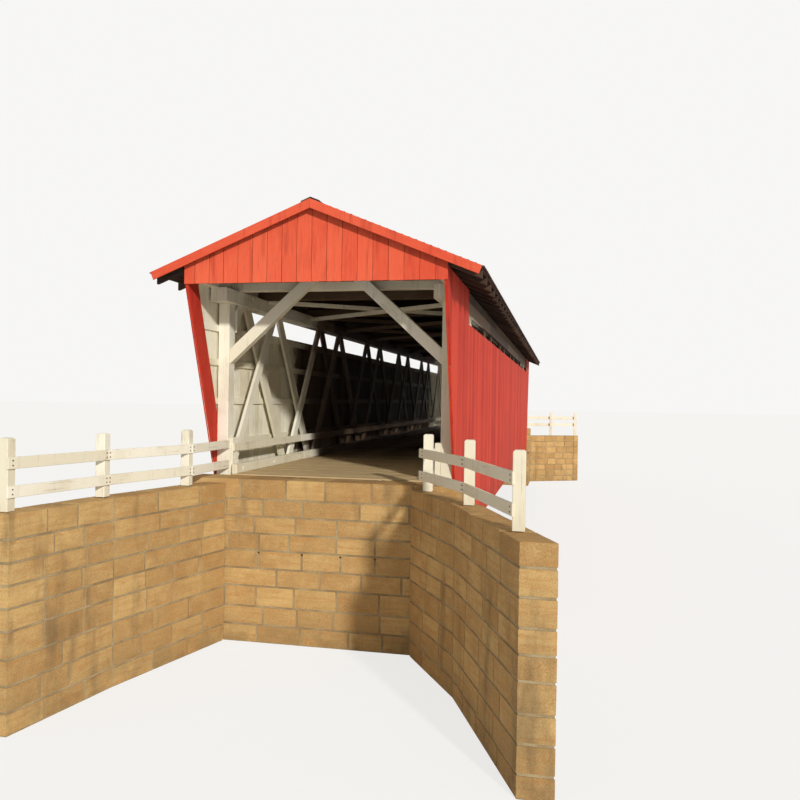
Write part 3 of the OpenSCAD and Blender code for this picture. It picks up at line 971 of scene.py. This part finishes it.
def chords(side, way, name, slot, material, start, z0, z1, seed):
    """Three leaves, each in staggered lengths, with two bolts where web timbers meet."""
    pile = Pile(seed, way)
    painted = material is TRUSS
    if painted:
        for _ in pile.drawn(ENDS):
            packing(pile, z0, z1)
    for k in range(3):
        x = TRUSS_IN + k * LEAF_STEP
        for a, b in pieces(pile.rng, start, HOUSE_L - start, LEAF_L, TIMBER_GAP):
            pile.box(x, x + LEAF_T, a, b, z0, z1, "y", TIMBER_EDGE)
    for apex in APEXES:
        if POST_BACK < apex < HOUSE_L - POST_BACK:
            for share in BOLT_ROWS:
                y = apex + SPREAD * (2 * share - 1)
                pile.bolt(side_plane(-TRUSS_IN, -1), y, z0 + (z1 - z0) * share, 0 if painted else 1)
    pile.build(side + "_" + name + "_leaves", [material, IRON], slot, side + "_" + name)


def web(side, way, name, x, lean_way, width, seed):
    """The inclined timbers of one layer, cut off square at the end posts."""
    pile = Pile(seed, way)
    half = width * math.sqrt(1 + LEAN * LEAN) / 2
    for apex in APEXES:
        head = apex + lean_way * (SPREAD - LEAN * CHORD_H / 2)
        foot = head + lean_way * LEAN * (CHORD_TOP - LOW_CHORD_FOOT)
        outline = [(head - half, CHORD_TOP), (head + half, CHORD_TOP), (foot + half, LOW_CHORD_FOOT),
                   (foot - half, LOW_CHORD_FOOT)]
        outline = clip(clip(outline, 0, POST_BACK, True), 0, HOUSE_L - POST_BACK, False)
        if len(outline) > 2 and abs(area(outline)) > 0.01:
            pile.prism(outline, side_plane(x), WEB_T, 1, TIMBER_EDGE, lie=leaning(lean_way * LEAN))
    pile.build(side + "_" + name + "_timbers", [TRUSS, IRON], "white_timber", side + "_" + name)


def end_posts():
    pile = Pile(40)
    for _ in pile.drawn(CORNERS):
        pile.box(POST_IN, TRUSS_OUT, POST_FRONT, POST_BACK, LOW_CHORD_TOP, CHORD_FOOT, "z", POST_EDGE)
        pile.box(TRUSS_IN, POST_IN, POST_FRONT, POST_BACK, LOW_CHORD_TOP, FOOT_BLOCK_TOP, "z", HEAVY_EDGE)
        for z in POST_BOLT_LEVELS:
            pile.bolt(side_plane(-TRUSS_IN, -1), POST_FRONT + POST_L / 2, z, 0)
    pile.build("end_post_timbers", [TRUSS], "white_timber", "end_posts")


def knees():
    pile = Pile(41)
    outline = [(POST_IN, z) for z in KNEE_AT_POST] + [(x, CHORD_TOP + TIE_H) for x in KNEE_AT_TIE]
    lie = turned(unit(outline[0], outline[3]))
    for _ in pile.drawn(CORNERS):
        pile.prism(outline, front_plane(KNEE_FRONT), KNEE_W, 0, HEAVY_EDGE, lie=lie)
    pile.build("portal_knee_braces", [TRUSS], "white_timber", "portal_knees")


def tie(pile, y, slot):
    x = TRUSS_OUT - PLATE_W
    pile.box(-x, x, y, y + TIE_W, CHORD_TOP, CHORD_TOP + TIE_H, "x", HEAVY_EDGE, slot)


def ties():
    """Painted beams behind the portal knees, and bare dark ones between the braced bays."""
    pile = Pile(42)
    for _ in pile.drawn(ENDS):
        tie(pile, KNEE_FRONT + KNEE_W, 0)
    for k in range(BAYS + 1):
        tie(pile, END_BAY + k * BAY_L - TIE_W / 2, 1)
    pile.build("tie_beam_timbers", [TRUSS, OLD], "white_timber", "tie_beams")


def laterals(name, z0, way, seed):
    """One brace in every bay, from side to side; the two layers cross one above the other."""
    pile = Pile(seed)
    x = way * TRUSS_IN
    for k in range(BAYS):
        y0 = END_BAY + k * BAY_L + BAY_GAP
        y1 = END_BAY + (k + 1) * BAY_L - BAY_GAP
        outline = [(-x, y0), (-x, y0 + LATERAL_W), (x, y1), (x, y1 - LATERAL_W)]
        lie = turned(unit(outline[1], outline[2]))
        pile.prism(outline, plan_plane(z0), LATERAL_H, 0, TIMBER_EDGE, lie=lie)
    pile.build(name + "_timbers", [TRUSS], "white_timber", name)


def wall_plates():
    """Plates in lengths, white in the end bays and in the dark timber colour from there on, as painted shade
    under the eave.
    """
    pile = Pile(45)
    x0 = TRUSS_OUT - PLATE_W
    outline = [(x0, CHORD_TOP), (TRUSS_OUT, CHORD_TOP), (TRUSS_OUT, roof_z(TRUSS_OUT) - RAFTER_FOOT_DZ),
               (x0, roof_z(x0) - RAFTER_FOOT_DZ)]
    for _ in pile.drawn(SIDES):
        middle = stations(pile.rng, END_BAY, HOUSE_L - END_BAY, PLATE_L)
        ys = [BOARD_T] + middle + [HOUSE_L - BOARD_T]
        for a, b in zip(ys, ys[1:]):
            # The middle lengths take the dark timber material: painted shade under the eave.
            slot = 1 if a in middle and b in middle else 0
            pile.prism(outline, front_plane(a + TIMBER_GAP), b - a - 2 * TIMBER_GAP, 2, TIMBER_EDGE, slot)
    pile.build("wall_plate_timbers", [TRUSS, OLD], "white_timber", "wall_plates")


def girts(side, way, seed):
    """Nailing strips along the wall, in lengths, and short ones under the eave at the ends."""
    pile = Pile(seed, way)
    for z in GIRT_LEVELS:
        low, high = [rake_y(level) + BOARD_T + JAMB_W for level in (z, z + GIRT_W)]
        far = HOUSE_L - low
        whole = [(low, z), (far, z), (HOUSE_L - high, z + GIRT_W), (high, z + GIRT_W)]
        for a, b in pieces(pile.rng, low, far, GIRT_L):
            part = clip(whole, 0, a + TIMBER_GAP, True) if a > low else whole
            part = clip(part, 0, b - TIMBER_GAP, False) if b < far else part
            pile.prism(part, side_plane(TRUSS_OUT), GIRT_T, 0, FINE_EDGE)
    for _ in pile.drawn(ENDS):
        strip = rect(BOARD_T, END_BAY, CHORD_TOP, CHORD_TOP + GIRT_W)
        pile.prism(strip, side_plane(TRUSS_OUT), GIRT_T, 0, FINE_EDGE)
    pile.build(side + "_girt_strips", [TRUSS], "white_timber", side + "_girts")


def headers():
    pile = Pile(48)
    x = TRUSS_OUT - PLATE_W
    for _ in pile.drawn(ENDS):
        pile.box(-x, x, BOARD_T, BOARD_T + HEADER_T, HEADER_FOOT, HEADER_TOP, "x", TIMBER_EDGE)
    pile.build("gable_header_timbers", [TRUSS], "white_timber", "gable_headers")


bed_timbers()
for SIDE, WAY in (("left", -1), ("right", 1)):
    chords(SIDE, WAY, "bottom_chord", "old_timber", OLD, POST_FRONT, LOW_CHORD_FOOT, LOW_CHORD_TOP, 30 + WAY)
    chords(SIDE, WAY, "top_chord", "white_timber", TRUSS, POST_FRONT - CHORD_TAIL, CHORD_FOOT, CHORD_TOP,
           33 + WAY)
    web(SIDE, WAY, "braces", TRUSS_IN + 2 * LEAF_T + WEB_T, 1, BRACE_W, 36 + WAY)
    web(SIDE, WAY, "counters", TRUSS_IN + LEAF_T, -1, COUNTER_W, 50 + WAY)
    girts(SIDE, WAY, 46 + WAY)
end_posts()
knees()
ties()
laterals("lower_lateral_braces", LATERAL_FOOT, -1, 43)
laterals("upper_lateral_braces", LATERAL_FOOT + LATERAL_H, 1, 44)
wall_plates()
headers()


# Floor


def floor_beams():
    pile = Pile(60)
    step = (HOUSE_L - 2 * FIRST_BEAM - BEAM_W) / (BEAMS - 1)
    reach = TRUSS_IN + LEAF_T
    for k in range(BEAMS):
        y = FIRST_BEAM + k * step
        pile.box(-reach, reach, y, y + BEAM_W, LOW_CHORD_TOP, BEAM_TOP, "x", HEAVY_EDGE)
    pile.build("floor_beam_timbers", [OLD], "old_timber", "floor_beams")


STRINGERS = [k * STRINGER_STEP for k in range(-3, 4)]


def stringers():
    pile = Pile(61)
    half = STRINGER_W / 2
    for x in STRINGERS:
        for a, b in pieces(pile.rng, FLOOR_START, FLOOR_END, STRINGER_L, TIMBER_GAP):
            pile.box(x - half, x + half, a, b, BEAM_TOP, STRINGER_TOP, "y", TIMBER_EDGE)
    pile.build("stringer_timbers", [OLD], "old_timber", "stringers")


def planks():
    """Cross planks, each worn a little differently, spiked down to the stringers."""
    pile = Pile(62)
    rng = pile.rng
    wear = 0.005
    uneven = 0.012
    spike_r = 0.008
    spike_t = 0.003
    for a, b in pieces(rng, FLOOR_START, FLOOR_END, PLANK_W):
        top = -rng.uniform(0, wear)
        x0 = -CURB_OUT + rng.uniform(0, uneven)
        x1 = CURB_OUT - rng.uniform(0, uneven)
        plank = rect(x0, x1, -PLANK_T, top)
        pile.prism(plank, front_plane(a + BOARD_GAP), b - a - 2 * BOARD_GAP, 0, RAIL_EDGE)
        for x in STRINGERS:
            for share in (0.25, 0.75):
                y = a + (b - a) * share
                pile.disc(plan_plane(top - 0.002), x + pile.wobble(0.02), y, 0, spike_r, spike_t, 1)
    pile.build("floor_plank_boards", [PLANKS, IRON], "floor_planks", "floor_planks")


def curbs():
    pile = Pile(63)
    for _ in pile.drawn(SIDES):
        for a, b in pieces(pile.rng, FLOOR_START, FLOOR_END, CURB_L):
            pile.prism(rect(a + BOARD_GAP, b - BOARD_GAP, 0, CURB_H), side_plane(ROAD_HALF),
                       CURB_OUT - ROAD_HALF, 0, CURB_EDGE)
            for share in CURB_BOLTS:
                pile.bolt(side_plane(-ROAD_HALF, -1), a + (b - a) * share, CURB_H / 2, 0)
    pile.build("curb_timbers", [TRUSS], "white_timber", "curbs")


def guards():
    pile = Pile(64)
    face = TRUSS_IN - RAIL_T
    for _ in pile.drawn(SIDES):
        for a, b in pieces(pile.rng, POST_FRONT, HOUSE_L - POST_FRONT, GUARD_L):
            board = rect(a + BOARD_GAP, b - BOARD_GAP, GUARD_FOOT, GUARD_FOOT + RAIL_W)
            pile.prism(board, side_plane(face), RAIL_T, 0, RAIL_EDGE)
            for share in GUARD_BOLTS:
                for v in BOLT_ROWS:
                    pile.disc(side_plane(-face, -1), a + (b - a) * share, GUARD_FOOT + RAIL_W * v, 0, 0.009,
                              0.003, 0)
    pile.build("guard_rail_boards", [TRUSS], "white_timber", "guard_rails")


floor_beams()
stringers()
planks()
curbs()
guards()


# Siding


def upright_boards(pile, outline, plane, start, end, nails, jitter=0.008, contrast=1.0):
    """Fills an outline with upright boards, a narrow gap between each two, nailed at some levels."""
    gap = 0.002
    nail_r = 0.006
    nail_t = 0.0025
    sunk = 0.001
    rng = pile.rng
    count = max(1, round((end - start) / BOARD_COVER))
    cover = (end - start) / count
    lowest = min(p[1] for p in outline)
    for k in range(count):
        a, b = start + k * cover, start + (k + 1) * cover
        part = clip(outline, 0, a + gap + rng.uniform(0, gap), True)
        if len(part) > 2:
            part = clip(part, 0, b - gap - rng.uniform(0, gap), False)
        if len(part) > 2 and jitter:
            part = clip(part, 1, lowest + rng.uniform(0, jitter), True)
        if len(part) < 3 or abs(area(part)) < 0.003:
            continue
        thick = BOARD_T - rng.uniform(0, 0.003)
        tone = 0.5 + (rng.random() - 0.5) * contrast
        pile.prism(part, plane, thick, 1, BOARD_EDGE, 0, 1, 2, tone)
        for z in nails:
            for share in (0.2, 0.8):
                u = a + (b - a) * share + pile.wobble(0.01)
                v = z + pile.wobble(0.02)
                if inside(part, u, v, 0.04):
                    pile.disc(plane, u, v, thick - sunk, nail_r, nail_t, 0)


def long_siding(side, way, top, seed):
    pile = Pile(seed, way)
    start, end = END_BAY, HOUSE_L - END_BAY
    upright_boards(pile, rect(start, end, -DROP, top), side_plane(HALF_W - BOARD_T), start, end, NAIL_LEVELS)
    pile.build(side + "_siding_boards", [RED, BACKS, OLD], "red_siding", side + "_siding")


def jamb_board(pile, d0, d1):
    """A red board on the inside along the raked portal edge, between two distances from it."""
    low = rake_y(JAMB_FOOT)
    outline = [(low + d0, JAMB_FOOT), (low + d1, JAMB_FOOT), (d1, GABLE_FOOT), (d1, CHORD_TOP),
               (d0, CHORD_TOP), (d0, GABLE_FOOT)]
    pile.prism(outline, side_plane(TRUSS_OUT), GIRT_T, 1, SAWN_EDGE)


def end_siding(side, way, seed):
    pile = Pile(seed, way)
    top = roof_z(HALF_W) - RAFTER_FOOT_DZ
    outline = [(END_BAY, -DROP), (END_BAY, top), (BOARD_T, top), (BOARD_T, GABLE_FOOT),
               (rake_y(-DROP), -DROP)]
    nails = NAIL_LEVELS + (CHORD_TOP + GIRT_W / 2,)
    for _ in pile.drawn(ENDS):
        upright_boards(pile, outline, side_plane(HALF_W - BOARD_T), 0, END_BAY, nails, 0)
        for k in range(2):
            jamb_board(pile, BOARD_T + JAMB_W * k / 2, BOARD_T + JAMB_W * (k + 1) / 2)
    pile.build(side + "_end_siding_boards", [RED, BACKS, OLD], "red_siding", side + "_end_siding")


def gable(name, end, seed):
    pile = Pile(seed)
    side = roof_z(HALF_W) - RAFTER_TOP_DZ
    outline = [(-HALF_W, GABLE_FOOT), (HALF_W, GABLE_FOOT), (HALF_W, side), (0, RIDGE - RAFTER_TOP_DZ),
               (-HALF_W, side)]
    half = HALF_W + BOARD_COVER / 4
    upright_boards(pile, outline, front_plane(BOARD_T, -1), -half, half, (GABLE_FOOT + 0.11,), 0.005, 0.45)
    pile.turn(end)
    pile.build(name + "_boards", [SUNLIT_RED, ROOF_WOOD, OLD], "red_siding", name)


long_siding("left", -1, TOP_LEFT, 70)
long_siding("right", 1, TOP_RIGHT, 71)
end_siding("left", -1, 72)
end_siding("right", 1, 73)
gable("near_gable", SAME, 74)
gable("far_gable", FAR_END, 75)


# Roof


def rafters():
    pile = Pile(80)
    first = BOARD_T + 0.03
    step = (HOUSE_L - 2 * first - RAFTER_W) / (RAFTERS - 1)
    x0, x1 = 0.02, ROOF_HALF - 0.06
    outline = [(x0, roof_z(x0) - RAFTER_TOP_DZ), (x0, roof_z(x0) - RAFTER_FOOT_DZ),
               (x1, roof_z(x1) - RAFTER_FOOT_DZ), (x1, roof_z(x1) - RAFTER_TOP_DZ)]
    for _ in pile.drawn(SIDES):
        for k in range(RAFTERS):
            pile.prism(outline, front_plane(first + k * step), RAFTER_W, 0, FINE_EDGE)
    pile.build("rafter_timbers", [ROOF_WOOD], "roof_timber", "rafters")


def ridge_board():
    pile = Pile(81)
    half = 0.02
    foot = RIDGE - RAFTER_FOOT_DZ - 0.04
    for a, b in pieces(pile.rng, BOARD_T, HOUSE_L - BOARD_T, RIDGE_L, FIT_GAP):
        pile.box(-half, half, a, b, foot, roof_z(half) - RAFTER_TOP_DZ, "y", BOARD_EDGE)
    pile.build("ridge_board_timber", [ROOF_WOOD], "roof_timber", "ridge_board")


def sheathing(side, way, seed):
    """Boards along the roof, with gaps, under the shingles."""
    pile = Pile(seed)
    plane = slope_plane(way, DECK_T)
    low, high = EAVE_GAP / math.cos(ANGLE), SLOPE_L - FIT_GAP
    for v0, v1 in pieces(pile.rng, low, high, SHEATHING_W, SHEATHING_GAP):
        for a, b in pieces(pile.rng, ROOF_START, ROOF_END, SHEATHING_L, FIT_GAP):
            pile.prism(rect(a, b, v0, v1), plane, SHEATHING_T, 0, SAWN_EDGE)
    pile.build(side + "_roof_sheathing", [ROOF_WOOD], "roof_timber", side + "_roof_boards")


# Shingles: exposed length, lap and widths, and where their undersides and upper ends lie in the roof
SHINGLE_E = 0.145
SHINGLE_LAP = 0.03
SHINGLE_W = (0.09, 0.19)
SHINGLE_LIFT = (0.001, 0.005)
BUTT_UNEVEN = 0.012
BUTT_FOOT = -0.022
TAIL_FOOT = -0.039
TAIL_TOP = -0.031
LAST_TAIL_TOP = -0.02


def shingles(side, way, seed):
    """Courses of split shingles; each lies on the one below and ends in a thick butt."""
    pile = Pile(seed)
    rng = pile.rng
    plane = slope_plane(way, 0)
    along = plane.to_3x3() @ Vector((0, 1, 0))
    count = round(SLOPE_L / SHINGLE_E)
    e = SLOPE_L / count
    for c in range(count):
        u = ROOF_START
        high = min(c * e + e + SHINGLE_LAP, SLOPE_L)
        end = TAIL_TOP if c < count - 1 else LAST_TAIL_TOP
        while u < ROOF_END - 0.02:
            w = rng.uniform(*SHINGLE_W)
            if ROOF_END - u - w < SHINGLE_W[0]:
                w = ROOF_END - u
            low = c * e + rng.uniform(0, BUTT_UNEVEN) if c else 0
            lift = -rng.uniform(*SHINGLE_LIFT)
            plan = rect(u + 0.0015, u + w - 0.0025, low, high)
            depths = (BUTT_FOOT, BUTT_FOOT, TAIL_FOOT, TAIL_FOOT, lift, lift, end, end)
            pile.solid([plane @ Vector((*p, d)) for p, d in zip(plan + plan, depths)], along)
            u += w
    pile.build(side + "_roof_shingles", [SHINGLES], "shingles", side + "_shingles")


def ridge_cap():
    """Pairs of cap shingles that lap along the ridge."""
    pile = Pile(86)
    w = 0.18
    thick = 0.022
    taper = 0.012
    for a, b in pieces(pile.rng, ROOF_START, ROOF_END, CAP_L):
        for way in (1, -1):
            far = min(b + SHINGLE_LAP, ROOF_END)
            lift = thick - pile.rng.uniform(0, 0.003)
            edges = ((way * FIT_GAP, a), (way * w, a), (way * w, far), (way * FIT_GAP, far))
            lifts = (lift, lift, lift - taper, lift - taper)
            low = [(x, y, roof_z(x)) for x, y in edges]
            pile.solid(low + [plus(p, (0, 0, d)) for p, d in zip(low, lifts)], (0, 1, 0))
    pile.build("ridge_cap_shingles", [SHINGLES], "shingles", "ridge_cap")


def barges(name, end, seed):
    """A pair of painted boards under the roof's edge, mitred at the ridge."""
    pile = Pile(seed)
    drop = 0.015
    dz = BARGE_H / math.cos(ANGLE)
    tip = ROOF_HALF - 0.04
    heel = tip - BARGE_H * math.sin(ANGLE)
    outline = [(FIT_GAP, RIDGE - drop), (tip, roof_z(tip) - drop), (heel, roof_z(heel) - drop - dz),
               (FIT_GAP, RIDGE - drop - dz)]
    for _ in pile.drawn(SIDES):
        pile.prism(outline, front_plane(-OVERHANG, -1), BARGE_T, 0, FINE_EDGE, lie=leaning(FALL))
    pile.turn(end)
    pile.build(name + "_painted", [SUNLIT_RED], "red_siding", name)


rafters()
ridge_board()
sheathing("left", -1, 82)
sheathing("right", 1, 83)
shingles("left", -1, 84)
shingles("right", 1, 85)
ridge_cap()
barges("near_barge_boards", SAME, 87)
barges("far_barge_boards", FAR_END, 88)


# Approach rails


def post(pile, x, y, foot):
    """A square post with its head chamfered on all sides and its corners eased."""
    h = RAIL_POST / 2
    e = h - HEAD_EASE
    ring = [(-h, -e), (-e, -h), (e, -h), (h, -e), (h, e), (e, h), (-e, h), (-h, e)]
    top = RAIL_POST_H + GROUND
    start = len(pile.verts)
    shift = pile.shift()
    tone = pile.rng.random()
    for z, inwards in [(foot, 0)] + [(top - drop, inwards) for drop, inwards in POST_HEAD]:
        s = 1 - inwards / h
        for u, v in ring:
            pile.add(Vector((x, y, 0)) + Vector((u * s, v * s, z)), plus((z, u, v), shift), tone)
    pile.wrap(start, len(ring), 4)


def rail(pile, a, b, z, posts):
    """A board between two plan points on the road side of the posts, bolted to each post."""
    d = unit(a, b)
    n = Vector((-abs(d.y), d.x * (1 if d.y > 0 else -1)))
    length = (Vector(b) - Vector(a)).length
    near = Vector(a) + n * (RAIL_POST / 2)
    plane = Matrix(((d.x, 0, n.x, near.x), (d.y, 0, n.y, near.y), (0, 1, 0, z), (0, 0, 0, 1)))
    pile.prism(rect(0, length, 0, RAIL_W), plane, RAIL_T, 0, TIMBER_EDGE)
    for p in posts:
        s = (Vector(p) - Vector(a)).dot(d)
        if -0.01 < s < length + 0.01:
            for v in BOLT_ROWS:
                pile.disc(plane, min(max(s, 0.04), length - 0.04), RAIL_W * v, RAIL_T, 0.012, 0.006, 1)


def fence(pile, posts, start, foot, way, along):
    """Posts, and two rails from a start over the middle post to just past the last one."""
    line = [*start, posts[1], past(posts[1], posts[2], RAIL_POST / 2)]
    for _ in pile.drawn([beside(way, along)]):
        for x, y in posts:
            post(pile, x, y, foot)
        for a, b in zip(line, line[1:]):
            for z in (RAIL_LOW + GROUND, RAIL_HIGH + GROUND):
                rail(pile, a, b, z, posts)


def approach_rails():
    pile = Pile(90)
    start = [(LEFT_POSTS[0][0], POST_FRONT), LEFT_POSTS[0]]
    fence(pile, LEFT_POSTS, start, GROUND, -1, 0)
    start = [past(RIGHT_POSTS[1], RIGHT_POSTS[0], 0.18)]
    fence(pile, RIGHT_POSTS, start, GROUND, 1, 0)
    start = [past(FAR_POSTS[1], FAR_POSTS[0], RAIL_POST / 2)]
    for way in (1, -1):
        fence(pile, FAR_POSTS, start, FAR_GROUND, way, HOUSE_L)
    pile.build("approach_rail_fences", [WHITE, IRON], "white_timber", "approach_rails")


approach_rails()


# Stage, light and camera

PALE = (0.93, 0.925, 0.91, 1)
FLOOR_COLOR = (0.8, 0.79, 0.77, 1)
FLOOR_LIGHT = (1.0, 0.995, 0.98, 1)
FLOOR_GLOW = 0.76
FLOOR_HALF = 400
SOFT_COLOR = (1.0, 0.985, 0.96, 1)
SOFT_STRENGTH = 0.44
SUN_DIRECTION = (-0.72, 1, -0.46)
SUN_STRENGTH = 2.9
SUN_ANGLE = 3
SUN_COLOR = (1.0, 0.965, 0.9)


def pale_floor():
    """A matt floor that the camera sees paler than it is; it keeps part of its shadows."""
    n = Material("pale_floor", 1.0)
    n.put(n.bsdf.inputs["Base Color"], FLOOR_COLOR)
    glow = n.make("ShaderNodeEmission", 0, {"Color": FLOOR_LIGHT})
    n.show(n.bsdf.outputs[0], glow, FLOOR_GLOW, "Material Output")
    return n.owner


def stage():
    r = FLOOR_HALF
    mesh = bpy.data.meshes.new("floor")
    mesh.from_pydata([(x, y, 0) for x, y in rect(-r, r, -r, r)], [], [(0, 1, 2, 3)])
    mesh.materials.append(pale_floor())
    floor = bpy.data.objects.new("studio_floor", mesh)
    bpy.context.scene.collection.objects.link(floor)


def world():
    """Soft light from all around, and a pale background."""
    w = bpy.data.worlds.new("soft_light")
    bpy.context.scene.world = w
    n = Nodes(w)
    lit = n.tree.nodes["Background"]
    n.put(lit.inputs["Color"], SOFT_COLOR)
    n.put(lit.inputs["Strength"], SOFT_STRENGTH)
    seen = n.make("ShaderNodeBackground", 0, {"Color": PALE})
    n.show(lit.outputs[0], seen, 1, "World Output")


def sun():
    lamp = bpy.data.lights.new("key_light", "SUN")
    lamp.energy = SUN_STRENGTH
    lamp.angle = math.radians(SUN_ANGLE)
    lamp.color = SUN_COLOR
    obj = bpy.data.objects.new("key_light", lamp)
    obj.rotation_mode = "QUATERNION"
    obj.rotation_quaternion = Vector(SUN_DIRECTION).to_track_quat("-Z", "Y")
    bpy.context.scene.collection.objects.link(obj)


def camera():
    """Stands where the photographer did, turned by yaw and pitch and then rolled."""
    data = bpy.data.cameras.new("photo_camera")
    data.lens = CAM_LENS
    data.sensor_width = SENSOR
    data.clip_start = 0.1
    data.clip_end = 1000
    obj = bpy.data.objects.new("photo_camera", data)
    cy, sy = math.cos(CAM_YAW), math.sin(CAM_YAW)
    cp, sp = math.cos(CAM_PITCH), math.sin(CAM_PITCH)
    forward = Vector((sy * cp, cy * cp, sp))
    right = Vector((cy, -sy, 0))
    down = forward.cross(right)
    c, s = math.cos(CAM_ROLL), math.sin(CAM_ROLL)
    right, down = c * right + s * down, c * down - s * right
    place = Vector(CAM_PLACE) + ORIGIN
    rows = [(right[k], -down[k], -forward[k], place[k]) for k in range(3)]
    obj.matrix_world = Matrix(rows + [(0, 0, 0, 1)])
    bpy.context.scene.collection.objects.link(obj)
    bpy.context.scene.camera = obj


stage()
world()
sun()
camera()

scene = bpy.context.scene
scene.view_settings.view_transform = "Standard"
